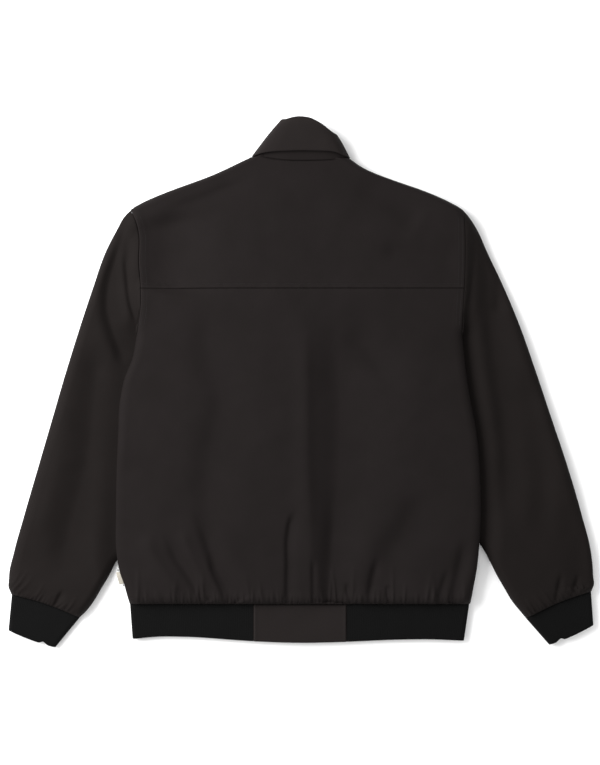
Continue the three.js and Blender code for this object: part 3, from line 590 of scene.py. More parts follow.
frontFolds = [
    {"depth": 1.8, "half": (9, 14), "line": [(-62, 120), (-70, 20), (-66, -120), (-80, -260)]},
    {"depth": 1.6, "half": (12, 10), "line": [(-120, 60), (-132, -80), (-118, -250)]},
    {"depth": 1.8, "half": (14, 9), "line": [(70, 140), (78, 10), (69, -160), (84, -280)]},
    {"depth": 1.5, "half": (10, 12), "line": [(128, 90), (119, -60), (134, -240)]},
    {"depth": 1.2, "half": (6, 8), "line": [(-40, -200), (-46, -300)]},
    {"depth": 1.2, "half": (8, 6), "line": [(44, -190), (40, -300)]},
]
hemGathers = {"gap": (3.0, 6.8), "short": (12, 26), "tall": (34, 64), "tallShare": 0.16, "width": (1.1, 2.0),
              "height": (1.5, 3.3), "lean": 0.16, "half": 236}
backCreases = gathers(-hemGathers["half"], hemGathers["half"], hemGathers)
frontCreases = gathers(-hemGathers["half"], hemGathers["half"], hemGathers)
backRipple = ripple(3, waves=14, longest=120, shortest=26, height=0.42)
frontRipple = ripple(5, waves=14, longest=120, shortest=26, height=0.35)
yokePucker = ripple(8, waves=10, longest=16, shortest=7, height=0.22)


def edgeX(side, y):
    return smoothCurve(outline["y"], outline["left" if side < 0 else "right"], y)


sleeveLift = {"height": 12, "reach": 54, "run": 32, "fade": 38, "start": 14, "rise": 36}
frontForm = {"edgeRun": 30, "marksTo": 150, "marksRun": 40, "creaseShare": 0.7, "creasesTo": 230,
             "creasesRun": 30}


def liftBySleeve(x, y):    # how far the fronts are lifted by the sleeve under them
    lift = np.zeros(np.broadcast(x, y).shape)
    for sleeve in sleeves.values():
        side = sleeve["side"]
        rows = np.array(sleeve["inner"][::-1])
        over = side * (x - smoothCurve(rows[:, 1], rows[:, 0], y)) + sleeveLift["reach"]
        lift = np.where(side * x > 0, sleeveLift["height"] * soft(over / sleeveLift["run"]), lift)
    below = 1 - soft((y - body["armpitY"]) / sleeveLift["fade"])
    return lift * below * soft((y - body["hemY"] - sleeveLift["start"]) / sleeveLift["rise"])


def neckBend(share):    # the neck line's rise at a share of its half width
    return clamp(share) ** body["neckBend"]


def neckLineAt(x):
    return mix(body["frontNeckY"], body["neckY"], neckBend(np.abs(x) / body["neckHalf"]))


def closureShare(x):    # 1 at the zip, falling to 0 beside its tapes
    return 1 - soft((np.abs(x) - body["closureHalf"] - 1) / body["closureRun"])


def bottomHeight(x, y):
    aboveNeck = soft((y - neckLineAt(x) + body["neckLiftFrom"]) / body["neckLiftRun"])
    return np.maximum(liftBySleeve(x, y), body["closureLift"] * np.maximum(closureShare(x), aboveNeck))


def frontHeight(x, y):
    run = frontForm["edgeRun"]
    inside = 1 - soft((np.abs(x) - frontForm["marksTo"]) / frontForm["marksRun"])
    free = soft((y - body["hemY"]) / run) * soft((body["tipY"] - y) / run) * inside
    marks = foldField(frontFolds, x, y) + np.maximum(frontRipple(x, y), 0)
    creases = frontForm["creaseShare"] * gatherField(frontCreases, x, y - body["hemY"])
    inCreases = soft((frontForm["creasesTo"] - np.abs(x)) / frontForm["creasesRun"])
    return bottomHeight(x, y) + free * marks + creases * inCreases


def hemDrop(y):
    return quarter((y - body["hemY"]) / body["hemRound"])


def levelTop(y):
    return body["top"] - body["topFall"] * soft((y - body["topFallFrom"]) / body["topFallRun"])


def plainTop(y):
    return mix(body["ribTop"], levelTop(y), hemDrop(y))


# each dent below is its depth, its width and, if it lies away from the edge, how far in it lies
seamRoll = (-0.75, 1.1)
yokeSeam = {"lap": 0.4, "lapTo": 7, "lapRun": 5, "ditch": (-0.35, 4), "pucker": (1, 7, 3), "stitchAt": 6,
            "groove": (-0.32, 1.2), "wearAndHighlight": (0.25, 2.0, 1.5)}
armhole = {"footRun": 36, "tipRun": 24, "proud": 0.5, "proudRun": 5, "stitchesAt": (4, 9),
           "groove": (-0.3, 1.2), "wearAndHighlight": (0.3, 2.2, 1.5)}
backForm = {"edgeRun": 22, "neckRun": 30, "overRib": 0.7, "foldsAtRib": 0.5, "pastHem": 0.1}


def seamEdge(d):    # cloth rolls down into a seam
    return dent(d, *seamRoll)


def topHeight(x, y):
    near = np.minimum(x - edgeX(-1, y), edgeX(1, y) - x)
    free = soft(near / backForm["edgeRun"]) * soft((body["neckY"] - y) / backForm["neckRun"])
    folds = foldField(backFolds, x, y) * mix(backForm["foldsAtRib"], 1.0, hemDrop(y))
    height = mix(body["ribTop"] + backForm["overRib"], levelTop(y), hemDrop(y)) - folds
    height += gatherField(backCreases, x, y - body["hemY"])
    height += backRipple(x, y) * free
    overYoke = y - body["yokeY"]
    lap = yokeSeam["lap"] * (1 - soft((overYoke - yokeSeam["lapTo"]) / yokeSeam["lapRun"]))
    lap = np.where(overYoke >= 0, lap, dent(overYoke, *yokeSeam["ditch"]))
    pucker = yokePucker(x, y) * dent(overYoke, *yokeSeam["pucker"]) * free
    groove = dent(overYoke, *yokeSeam["groove"], yokeSeam["stitchAt"]) * (overYoke > 0)
    return height + lap + pucker + groove + seamEdge(overYoke)


def seamHeight(side, y):
    return 0.5 * (plainTop(y) + liftBySleeve(edgeX(side, y), y))


def armholeOpen(y):
    fromFoot, fromTip = y - body["armpitY"], body["tipY"] - y
    return quarter(fromFoot / armhole["footRun"]) * quarter(fromTip / armhole["tipRun"])


def turnLength(y):
    above = mix(*body["shoulderRound"], clamp((y - body["tipY"]) / (body["neckY"] - body["tipY"])))
    return mix(body["sideRound"], above, soft((y - body["tipY"]) / body["shoulderRun"]))


neckSeam = {"x": [-72, -65.5, -58, -52, -44, -34, -21, 0, 30, 44, 56, 63, 71],
            "y": [319.6, 319.8, 320.6, 320.6, 318.8, 317, 315.9, 315.2, 315.6, 316.2, 317.4, 318, 318.4],
            "run": 25, "dip": 2.1, "dipRun": 1.7, "tuck": [1.2, 2.6, 4.2],
            "narrowing": 0.9, "narrowFrom": 46, "narrowRun": 14}


def neckRaise(x, rows):    # the rows near the neck bend to follow its seam
    share = soft((rows - body["neckY"] + neckSeam["run"]) / neckSeam["run"])
    return (smoothCurve(neckSeam["x"], neckSeam["y"], x) - body["neckY"]) * share


turnSteps = 9
denseEnd = [0, 0.5, 1.1, 1.9, 3.0, 4.3, 5.3, 6.0, 6.7, 7.7, 9.5]
gatheredEnd = denseEnd[:6] + list(np.arange(6.6, 62, 2.7))    # rows stay close over the gathers


def backSurface(rows, across):
    middle = int(round(2 * body["halfWidth"] / across))
    k = np.arange(2 * turnSteps + middle + 1)[None, :]
    y = rows[:, None]
    inBody = np.minimum(y, body["neckY"])
    left, right, turn = edgeX(-1, inBody), edgeX(1, inBody), turnLength(inBody)
    left, right = left + halfGap, right - halfGap
    angleLeft = clamp(k / turnSteps) * math.pi / 2
    angleRight = clamp((2 * turnSteps + middle - k) / turnSteps) * math.pi / 2
    share = clamp((k - turnSteps) / middle)
    x = mix(left + turn, right - turn, share)
    x = np.where(k < turnSteps, left + turn * (1 - np.cos(angleLeft)), x)
    x = np.where(k > turnSteps + middle, right - turn * (1 - np.cos(angleRight)), x)
    y = y + 0 * x
    side = np.where(x < 0, -1, 1)
    seam = np.where(side < 0, seamHeight(-1, rows)[:, None], seamHeight(1, rows)[:, None])
    level = topHeight(x, y)
    opened = armholeOpen(y)
    # at an armhole the body's edge lies proud, over its turned-in seam, with two grooves of topstitch
    inFrom = np.minimum(x - left, right - x)
    atArm = opened * (y > body["armpitY"]) * (y < body["tipY"])
    proud = armhole["proud"] * (1 - soft((inFrom - armhole["stitchesAt"][-1]) / armhole["proudRun"]))
    for row in armhole["stitchesAt"]:
        proud = proud + dent(inFrom, *armhole["groove"], row)
    level = level + atArm * (proud + seamEdge(inFrom))
    z = mix(mix(seam, level, opened), level, np.sin(np.minimum(angleLeft, angleRight)))
    # the top edge dips under the collar and is tucked in there
    past = np.maximum(rows - body["neckY"], 0)[:, None]
    narrow = 1 - neckSeam["narrowing"] * soft((np.abs(x) - neckSeam["narrowFrom"]) / neckSeam["narrowRun"])
    z = z - neckSeam["dip"] * narrow * soft((rows[:, None] - body["neckY"]) / neckSeam["dipRun"] + 1)
    y = np.minimum(y, body["neckY"]) + neckRaise(x, rows[:, None]) + past * narrow
    wearAndHighlight = dent(inFrom, *armhole["wearAndHighlight"]) * atArm + dent(y - body["yokeY"], *yokeSeam["wearAndHighlight"])
    return np.stack([x, y, z], axis=2), wearAndHighlight


def bodyRows(start, end, near=denseEnd):
    return start + spread(end - start, body["step"], near, denseEnd)


panelRows = bodyRows(body["hemY"] - backForm["pastHem"], body["yokeY"] - halfGap, gatheredEnd)
panelPoints, panelWear = backSurface(panelRows, body["panelAcross"])
backPanel = clothPiece("back_panel_cloth", panelPoints, body["wall"], shellCloth,
                       faceTo=(0, 0, 1), wearAndHighlight=panelWear)
tuckRows = body["neckY"] + np.array(neckSeam["tuck"])
yokeRows = np.concatenate([bodyRows(body["yokeY"] + halfGap, body["neckY"]), tuckRows])
yokePoints, yokeWear = backSurface(yokeRows, body["yokeAcross"])
backYoke = clothPiece("back_yoke_cloth", yokePoints, body["wall"], shellCloth,
                      faceTo=(0, 0, 1), wearAndHighlight=yokeWear)
keep(backPanel, "back_panel")
keep(backYoke, "back_yoke")


def frontSurface(side):
    rows = bodyRows(body["hemY"] + halfGap, body["neckY"] - halfGap, gatheredEnd)
    middle = int(round(body["halfWidth"] / body["frontAcross"]))
    k = np.arange(turnSteps + middle + 1)[None, :]
    y = rows[:, None]
    edge = edgeX(side, y) - side * halfGap
    turn = turnLength(y)
    angle = clamp(k / turnSteps) * math.pi / 2
    inner = edge - side * turn
    x = mix(inner, side * body["closureHalf"], clamp((k - turnSteps) / middle))
    x = np.where(k < turnSteps, edge - side * turn * (1 - np.cos(angle)), x)
    aboveYoke = (y - body["yokeY"]) / (body["neckY"] - body["yokeY"])
    middleY = np.where(y < body["yokeY"], y, mix(body["yokeY"], body["frontNeckY"], aboveYoke))
    toEdge = neckBend(np.abs(x) / np.abs(edge))
    place = mix(middleY, y, toEdge) + neckRaise(x, y) * toEdge
    level = frontHeight(x, place)
    seam = seamHeight(side, rows)[:, None]
    z = mix(mix(seam, level, armholeOpen(y)), level, np.sin(angle))
    return np.stack([x, place, z], axis=2)


for name, side in (("left", -1), ("right", 1)):
    front = clothPiece(f"front_{name}_cloth", frontSurface(side), body["wall"], shellCloth, faceTo=(0, 0, -1))
    keep(front, f"front_{name}")
print("body made")


# sleeves: rings from the armhole to the cuff

sleeveShape = {
    "wall": 1.8, "top": 21, "topAtHead": 26, "tucked": 10.2, "cuffTop": 12, "columns": (150, 56),
    "step": 5.0, "length": 600.0, "armEnd": [0, 0.6, 1.4, 2.6, 4.0], "turnIn": 12, "turnOut": 16,
    "outerShare": [0, 0.05, 0.11, 0.18, 0.25, 0.32, 0.39, 0.47, 0.55, 0.63, 0.72, 0.8, 0.87, 0.935, 0.972,
                   1],
    "innerShare": [0, 0.025, 0.05, 0.09, 0.14, 0.21, 0.29, 0.38, 0.48, 0.58, 0.68, 0.77, 0.855, 0.93, 0.97,
                   1],
    # over these shares of the length the armhole's line, gap and heights give way to the sleeve's own
    "lineRun": 0.2, "gapRun": 0.05, "seamRun": (0.03, 0.065), "seamShare": 0.25, "topRun": 0.3,
    "cuffRun": 0.05, "bowFrom": 0.8, "bowRun": 0.2,
    "tipClosed": 0.35, "tipFrom": 0.88,    # the gap closes up at the shoulder's tip
    "cuffSwell": 2.6, "cuffSwellAt": 11, "cuffSwellWidth": 9,    # the outer edge stands out above the cuff
    "pressRun": 34, "pressTop": 8, "pressFade": 46,    # where the body lies on the sleeve
    "ripple": (14, 110, 24, 0.45), "wearAndHighlight": (0.4, 3.0, 2), "around": 200, "overCuff": 0.5, "underBody": 0.3,
    "lowerFolds": 0.6, "lowerFrom": 0.1, "lowerMost": 2, "lowerCreases": 0.5, "middle": 0.5,
    "outerMiddle": 0.46,
}
sleeveFolds = [
    {"depth": 8.0, "half": (10, 60), "fade": (0.03, 0.12),
     "line": [(-243, 237), (-251, 205), (-261, 174), (-270, 142), (-272, 100), (-264, 72), (-256, 50),
              (-236, 16)]},
    {"depth": -1.6, "half": (7, 6),
     "line": [(-250, 222), (-252, 190), (-251, 150), (-247, 116), (-241, 66)]},
    {"depth": 2.2, "half": (3, 4), "line": [(-249, 186), (-246, 152), (-242, 118), (-236, 96), (-231, 78)]},
    {"depth": 8.6, "half": (22, 48), "fade": (0.15, 0.2),
     "line": [(-284, 66), (-287, 20), (-292, -40), (-297, -95), (-314, -165), (-330, -231), (-336, -292)]},
    {"depth": -2.0, "half": (14, 14), "line": [(-326, 0), (-344, -110), (-374, -230)]},
    {"depth": 9.0, "half": (20, 30), "fade": (0.05, 0.2),
     "line": [(258, 240), (266, 190), (270, 120), (278, 40), (292, -50), (296, -140), (288, -226)]},
    {"depth": 3.6, "half": (5, 8), "fade": (0.15, 0.1),
     "line": [(242, 224), (241, 180), (240, 130), (236, 80)]},
    {"depth": 5.0, "half": (20, 18), "line": [(322, 20), (334, -60), (344, -130), (340, -230)]},
    {"depth": 4.2, "half": (24, 14), "line": [(384, -150), (398, -226), (402, -290)], "fade": (0.3, 0.0)},
    {"depth": 3.0, "half": (9, 14), "line": [(286, 176), (284, 130), (282, 92)]},
    {"depth": 3.4, "half": (3, 6), "line": [(-334, -292), (-343, -306), (-352, -322)], "fade": (0.4, 0.0)},
    {"depth": 3.2, "half": (3, 5), "line": [(396, -268), (391, -286), (385, -310)], "fade": (0.4, 0.0)},
    {"depth": 3.2, "half": (3, 5), "line": [(372, -266), (366, -290), (362, -316)], "fade": (0.4, 0.0)},
]
cuffGathers = {"gap": (3.0, 7.0), "short": (12, 24), "tall": (28, 52), "tallShare": 0.22, "width": (1.1, 2.0),
               "height": (1.4, 3.0), "lean": 0.18}


def ringShares(over, under):    # shares from the inner to the outer edge over the top, then back below
    share = np.concatenate([over, under[::-1][1:]])[None, :]
    return share, np.arange(share.shape[1])[None, :] < len(over)


def sleeveSurface(sleeve):
    shape, side = sleeveShape, sleeve["side"]
    over, under = [0.5 - 0.5 * np.cos(np.linspace(0, math.pi, count + 1)) for count in shape["columns"]]
    share, isTop = ringShares(over, under)
    length = shape["length"]
    w = rowShares(length, shape["step"], shape["armEnd"], gatheredEnd)
    ax, ay = along(sleeve["inner"], smoothCurve(shape["outerShare"], shape["innerShare"], w))
    bx, by = along(sleeve["outer"], w)
    width = np.hypot(bx - ax, by - ay)
    fromCuff = (1 - w) * length

    # the outline, which leaves the armhole's line and bows down over the cuff
    atY = mix(body["armpitY"], body["tipY"], share)
    atX = edgeX(side, atY)
    straight = mix(sleeve["inner"][0][0], sleeve["outer"][0][0], share)
    seamGap = halfGap - shape["tipClosed"] * soft((share - shape["tipFrom"]) / (1 - shape["tipFrom"]))
    x = mix(ax, bx, share) + (atX - straight) * (1 - soft(w / shape["lineRun"]))
    x = x + side * seamGap * (1 - soft(w / shape["gapRun"]))
    swell = bell((fromCuff - shape["cuffSwellAt"]) / shape["cuffSwellWidth"])
    x = x + side * shape["cuffSwell"] * soft((share - 0.5) / 0.5) * swell
    bow = sleeve["seamBow"] * np.sin(math.pi * share)
    y = mix(ay, by, share) + bow * soft((w - shape["bowFrom"]) / shape["bowRun"])

    # gathers, folds and ripples, and the stretch that lies flat under the body
    outside = side * (x - edgeX(side, np.minimum(y, body["neckY"])))
    belowPit = 1 - soft((y - body["armpitY"] + shape["pressTop"]) / shape["pressFade"])
    pressed = (1 - soft(outside / shape["pressRun"])) * belowPit
    wavy = ripple(sleeve["seed"], *shape["ripple"])
    turnIn = quarter(share * width / shape["turnIn"])
    turnOut = quarter((1 - share) * width / shape["turnOut"])
    free = np.minimum(turnIn, turnOut)
    around = np.where(isTop, share * width, shape["around"] - share * width)
    crease = gatherField(gathers(0, shape["around"], cuffGathers), around, fromCuff)
    folds = foldField(sleeveFolds, x, y)

    # heights: of the upper layer, of the fold lines at the two edges, of the lower layer and of the armhole
    full = mix(shape["topAtHead"], shape["top"], soft(w / shape["topRun"])) - folds
    full = full + wavy(x, y) * free * soft(w / shape["gapRun"])
    toCuff = quarter((1 - w) / shape["cuffRun"])
    level = mix(shape["cuffTop"] + shape["overCuff"], mix(full, shape["tucked"], pressed), toCuff)
    level = level + crease * free
    atCuff = shape["middle"] * shape["cuffTop"]
    innerMid = mix(atCuff, shape["middle"] * shape["tucked"], toCuff)
    outerMid = mix(atCuff, shape["outerMiddle"] * shape["top"], toCuff)
    mid = np.where(share < 0.5, innerMid, outerMid)
    lowerFrom = shape["lowerFrom"]
    lower = shape["lowerFolds"] * folds.clip(0, shape["lowerMost"]) * soft((w - lowerFrom) / lowerFrom)
    lower = lower * toCuff * (1 - pressed) + shape["lowerCreases"] * crease
    own = mix(mid, np.where(isTop, level, lower), turnIn * turnOut)
    bodyTop = topHeight(atX + 0 * w, atY + 0 * w) - shape["underBody"]
    bodyLevel = np.where(isTop, bodyTop, frontHeight(atX, atY))
    seam = mix(seamHeight(side, atY), bodyLevel, armholeOpen(atY))
    z = mix(seam, own, soft(w / mix(*shape["seamRun"], clamp(share / shape["seamShare"]))))
    z = z + np.where(isTop, seamEdge(w * length), 0) * armholeOpen(atY)

    flatU = np.where(isTop, share * width, 2 * width - share * width)
    wearAndHighlight = dent(fromCuff, *shape["wearAndHighlight"]) + 0 * x
    return np.stack([x, y, z], axis=2), (flatU, w * length + 0 * x), wearAndHighlight


for name, sleeve in sleeves.items():
    points, flat, wearAndHighlight = sleeveSurface(sleeve)
    # the sleeves take the darker copy of the cloth, a painted shade
    piece = clothPiece(f"sleeve_{name}_cloth", points, sleeveShape["wall"], shadedSleeveCloth, flat,
                       ring=True, wearAndHighlight=wearAndHighlight)
    keep(piece, f"sleeve_{name}")
print("sleeves made")


# rib knit: hem ribs and cuffs, with real ribs standing up from the cloth

ribShape = {"wall": 2.6, "pitch": 2.6, "relief": 0.34, "perRib": 5, "rowStep": 3.4, "ends": [0, 0.7, 1.6]}


def ribRelief(distance):    # rounded ribs with narrow grooves between them
    swing = 0.5 + 0.5 * np.cos(2 * math.pi * distance / ribShape["pitch"])
    return ribShape["relief"] * (np.sqrt(swing) - 1)


def raiseRibs(points, distance, column, ring=False):
    # the ribs stand on the outer face, which looks up at the column given
    normals = gridNormals(points, ring)
    if normals[:, column, 2].mean() < 0:
        normals = -normals
    return points + normals * (ribRelief(distance) + 0 * points[:, :, 2])[:, :, None]


cuffShape = {
    "top": 12, "round": 7, "length": 58, "footBow": 1.8, "notch": 3.4, "notchAt": 0.25, "notchWidth": 4.5,
    "seamDrop": 0.2, "seamRoll": (0.4, 1.4), "footRoll": (1.2, 1.2), "lowerRoll": 0.4,
    "ripple": (8, 60, 18, 0.3),
}


def cuffSurface(sleeve):
    shape, length = cuffShape, cuffShape["length"]
    seamIn, seamOut = sleeve["inner"][-1], sleeve["outer"][-1]
    ribs = int(round(math.dist(seamIn, seamOut) / ribShape["pitch"]))
    count = ribs * ribShape["perRib"]
    share, isTop = ringShares(np.linspace(0, 1, count + 1), np.linspace(0, 1, count + 1))
    w = rowShares(length, ribShape["rowStep"], ribShape["ends"])
    ax, ay = mix(seamIn[0], sleeve["cuffInner"][0], w), mix(seamIn[1], sleeve["cuffInner"][1], w)
    bx, by = mix(seamOut[0], sleeve["cuffOuter"][0], w), mix(seamOut[1], sleeve["cuffOuter"][1], w)
    width = np.hypot(bx - ax, by - ay)
    turn = quarter(share * width / shape["round"]) * quarter((1 - share) * width / shape["round"])
    x = mix(ax, bx, share)
    y = mix(ay, by, share) + (sleeve["seamBow"] * np.sin(math.pi * share) - shape["seamDrop"]) * (1 - w)
    y = y + shape["notch"] * bell((share - shape["notchAt"]) * width / shape["notchWidth"]) * w ** 5
    y = y - shape["footBow"] * np.sin(math.pi * share) * w ** 2
    endRoll = dent(w * length, *shape["seamRoll"]) + dent((1 - w) * length, *shape["footRoll"])
    wavy = ripple(sleeve["cuffSeed"], *shape["ripple"])
    level = np.where(isTop, shape["top"] - endRoll + wavy(x, y), shape["lowerRoll"] * endRoll)
    z = mix(0.5 * shape["top"], level, turn)
    distance = np.where(isTop, share, 2 - share) * ribs * ribShape["pitch"]
    points = raiseRibs(np.stack([x, y, z], axis=2), distance, count // 2, ring=True)
    return points, (distance + 0 * w, w * length + 0 * x)


for name, sleeve in sleeves.items():
    points, flat = cuffSurface(sleeve)
    cuff = clothPiece(f"cuff_{name}_knit", points, ribShape["wall"], ribKnit, flat, ring=True)
    keep(cuff, f"cuff_{name}")


hem = {
    "footX": [-236, -204, -166, -68, 0, 68, 130, 177, 234],
    "footY": [-364, -361, -361, -367.2, -369.4, -368, -365.4, -364.6, -366.6],
    "left": {"side": -1, "seam": 242.2, "foot": 238.6, "seed": 51},
    "right": {"side": 1, "seam": 241.2, "foot": 233.7, "seed": 52},
    "height": 50, "seamGap": 0.3, "closedHalf": 0.6, "closedFrom": 44, "closedRun": 3,
    "seamRoll": (0.35, 1.4), "footRoll": (1.3, 1.2), "sideRoll": 0.5, "lowerRoll": 0.25,
    "ripple": (8, 70, 20, 0.3), "flatNearTab": 8, "backColumn": 3,
}
tab = {
    "half": 66, "wall": 2.4, "height": 52, "step": 2.4, "edge": [0, 0.5, 1.1, 1.9, 3.0], "proud": 1.1,
    "inMost": 60, "seed": 61, "ripple": (8, 70, 22, 0.25),
    "sideRoll": (-0.9, 1.0), "sideSwell": (0.5, 1.6, 2.2), "seamRoll": (-1.5, 1.2), "footRoll": (-1.4, 1.1),
    # the whole tab takes a paler tone, and its sides are rubbed paler
    "paleTone": 0.7, "edgeWearAndHighlight": (0.6, 1.6, 1.2),
}


def hemFoot(x):
    return smoothCurve(hem["footX"], hem["footY"], x)


def hemSurface(part):
    side, height = part["side"], hem["height"]
    radius = body["ribTop"] / 2
    share = rowShares(height, ribShape["rowStep"], ribShape["ends"])
    edge = mix(part["seam"], part["foot"], share)
    topLength = part["seam"] - radius - tab["half"]
    turnLengthHere = math.pi * radius
    frontStart = topLength + turnLengthHere
    whole = frontStart + part["seam"] - radius - body["closureHalf"]
    ribs = int(round(whole / ribShape["pitch"]))
    s = np.linspace(0, whole, ribs * ribShape["perRib"] + 1)[None, :]
    tabEdge = tab["half"] + body["gap"]
    topX = mix(tabEdge, edge - radius, clamp(s / topLength))
    angle = clamp((s - topLength) / turnLengthHere) * math.pi
    # below the end of the zip tapes the two front ends close up
    closed = soft((share * height - hem["closedFrom"]) / hem["closedRun"])
    closure = mix(body["closureHalf"], hem["closedHalf"], closed)
    frontX = mix(edge - radius, closure, clamp((s - frontStart) / (whole - frontStart)))
    onTop, onFront = s <= topLength, s >= frontStart
    x = np.where(onTop, topX, np.where(onFront, frontX, edge - radius + radius * np.sin(angle)))
    endRoll = dent(share * height, *hem["seamRoll"]) + dent((1 - share) * height, *hem["footRoll"])
    wavy = ripple(part["seed"], *hem["ripple"])
    fromTab = soft((x - tabEdge) / hem["flatNearTab"])
    topZ = body["ribTop"] - endRoll + wavy(side * x, share * height) * fromTab
    lift = (body["closureLift"] - ribShape["wall"] + body["wall"]) * closureShare(x)
    frontZ = lift + hem["lowerRoll"] * endRoll
    roundZ = radius * (1 + np.cos(angle)) - hem["sideRoll"] * endRoll * np.cos(angle)
    z = np.where(onTop, topZ, np.where(onFront, frontZ, roundZ))
    y = mix(body["hemY"] - hem["seamGap"], hemFoot(side * x), share)
    points = raiseRibs(np.stack([side * x + 0 * y, y, z], axis=2), s, hem["backColumn"])
    return points, (s + 0 * share, share * height + 0 * s)


for name in ("left", "right"):
    points, flat = hemSurface(hem[name])
    rib = clothPiece(f"hem_rib_{name}_knit", points, ribShape["wall"], ribKnit, flat, faceTo=(0, 0, 1))
    # the rib wraps from back to front, so its outer side is found on the back stretch
    if rib.data.polygons[hem["backColumn"]].normal.z < 0:
        rib.data.flip_normals()
    keep(rib, f"hem_rib_{name}")


def tabSurface():
    half, height = tab["half"], tab["height"]
    x = (-half + spread(2 * half, tab["step"], tab["edge"]))[None, :]
    share = rowShares(height, tab["step"], tab["edge"])
    y = mix(hemFoot(x), body["hemY"] - hem["seamGap"], share)
    near = np.minimum(half - np.abs(x), tab["inMost"])
    z = body["ribTop"] + tab["proud"] + ripple(tab["seed"], *tab["ripple"])(x, y)
    z = z + dent(near, *tab["sideRoll"]) + dent(near, *tab["sideSwell"])
    z = z + dent((1 - share) * height, *tab["seamRoll"]) + dent(share * height, *tab["footRoll"])
    wearAndHighlight = tab["paleTone"] + dent(near, *tab["edgeWearAndHighlight"]) + 0 * share
    return np.stack([x + 0 * y, y, z], axis=2), wearAndHighlight


points, wearAndHighlight = tabSurface()
hemTab = clothPiece("hem_tab_cloth", points, tab["wall"], shellCloth, faceTo=(0, 0, 1), wearAndHighlight=wearAndHighlight)
keep(hemTab, "hem_tab")
print("ribs and tab made")


# collar: a stand sewn round the neck, and a leaf that rolls over its top

collar = {
    "wall": 2.2, "air": 1.6, "height": 40, "leafStart": 9, "columns": 132, "frontDepth": 0.86, "edgeFrom": 5,
    "edgeRun": 0.7, "seamRoll": (-0.5, 1.2), "foldSteps": 15, "turnRun": 10, "bulge": 1.2,
    "fallEnd": (-0.6, 1.0), "standRows": (2.6, [0, 0.6, 1.4]), "leafRows": (2.4, [0, 0.6, 1.3, 2.4]),
    "seed": 71, "ripple": (8, 60, 20, 0.22), "rippleRun": 0.2,
    # the leaf is painted paler all over as painted light, with a painted highlight along its roll and the top
    # of its fall
    "paleTone": 0.6, "foldHighlight": 0.5, "edgeWearAndHighlight": (0.4, 5),
    "back": [False] * 5 + [True] * 9 + [False] * 5,
    "neckX": [-6.5, -24, -44, -58, -65, -65.5, -58, -44, -22, 2, 24, 44, 58, 66.5, 66, 58, 44, 24, 6.5],
    "neckZ": [6, 6, 6.6, 8.2, 10.6, 14.5, 19.6, 22.2, 23.2, 23.2, 23.2, 22.2, 19.6, 14.5, 10.6, 8.2, 6.6,
              6, 6],
    "rollX": [-6, -15, -25, -31, -31, -24, -20, -14, -7, 3, 16, 32, 43, 48, 43, 36, 27, 15, 6],
    "rollY": [287, 292, 304, 324, 349, 367, 370, 372.4, 373.6, 373.8, 371.5, 363, 353.5, 346.5, 333, 316,
              302, 292, 287],
    "rollZ": [6.4, 6.8, 8, 10, 13.5, 18.5, 23.6, 26, 27, 27.2, 27, 26, 23.6, 18.5, 13.5, 10, 8, 6.8, 6.4],
    # the leaf's free edge at the back stations; at the front ones it covers frontDepth of the height
    "edgeX": [-69.2, -59.5, -40, -16, 4, 26, 47, 60.5, 71.6],
    "edgeY": [322.0, 324.0, 326.6, 327.8, 328.1, 327.8, 326.6, 322.4, 319.6],
    "edgeZ": [11.6, 27.0, 31.6, 32.4, 32.6, 32.4, 31.6, 27.0, 11.3],
}


def collarFrames():
    neckX = np.array(collar["neckX"])
    back = np.array(collar["back"])
    raised = neckRaise(neckX, body["neckY"])
    front = neckLineAt(neckX) + raised * neckBend(np.abs(neckX) / body["neckHalf"]) + 2 * body["gap"]
    neckY = np.where(back, body["neckY"] + raised + body["gap"], front)
    stations = np.arange(len(neckX))
    t = np.linspace(0, len(neckX) - 1, collar["columns"] + 1)
    neck = np.stack([smoothCurve(stations, v, t) for v in (neckX, neckY, collar["neckZ"])], axis=1)
    roll = np.stack([smoothCurve(stations, collar[k], t) for k in ("rollX", "rollY", "rollZ")], axis=1)
    height = np.linalg.norm(roll - neck, axis=1)
    up = (roll - neck) / height[:, None]
    out = np.cross(np.gradient(neck + roll, axis=0), up)
    out /= np.linalg.norm(out, axis=1, keepdims=True)
    return {"neck": neck, "up": up, "out": out, "height": height, "round": t}


def collarPoints(frames, rise, offset):    # rise along the collar's height and offset outwards
    return (frames["neck"][None] + frames["up"][None] * rise[:, :, None]
            + frames["out"][None] * (offset + 0 * rise)[:, :, None])


frames = collarFrames()
height = frames["height"][None, :]
neckSteps = np.linalg.norm(np.diff(frames["neck"], axis=0), axis=1)
neckRound = np.concatenate([[0], np.cumsum(neckSteps)])
standShare = rowShares(collar["height"], *collar["standRows"])
standRise = standShare * (height - collar["leafStart"])
standOut = collar["wall"] + dent(standShare * collar["height"], *collar["seamRoll"])
stand = clothPiece("collar_stand_cloth", collarPoints(frames, standRise, standOut), collar["wall"],
                   shellCloth, (neckRound[None] + 0 * standRise, standRise))
keep(stand, "collar_stand")


def fallEdge(thick):    # the leaf's free edge
    front = collarPoints(frames, (1 - collar["frontDepth"]) * height, thick)[0]
    at = collar["edgeFrom"] + np.arange(len(collar["edgeX"]))
    edges = [collar[k] for k in ("edgeX", "edgeY", "edgeZ")]
    back = np.stack([smoothCurve(at, edge, frames["round"]) for edge in edges], axis=1)
    run = collar["edgeRun"]
    atBack = soft((frames["round"] - at[0] + run) / run) * soft((at[-1] + run - frames["round"]) / run)
    return mix(front, back, atBack[:, None]), atBack


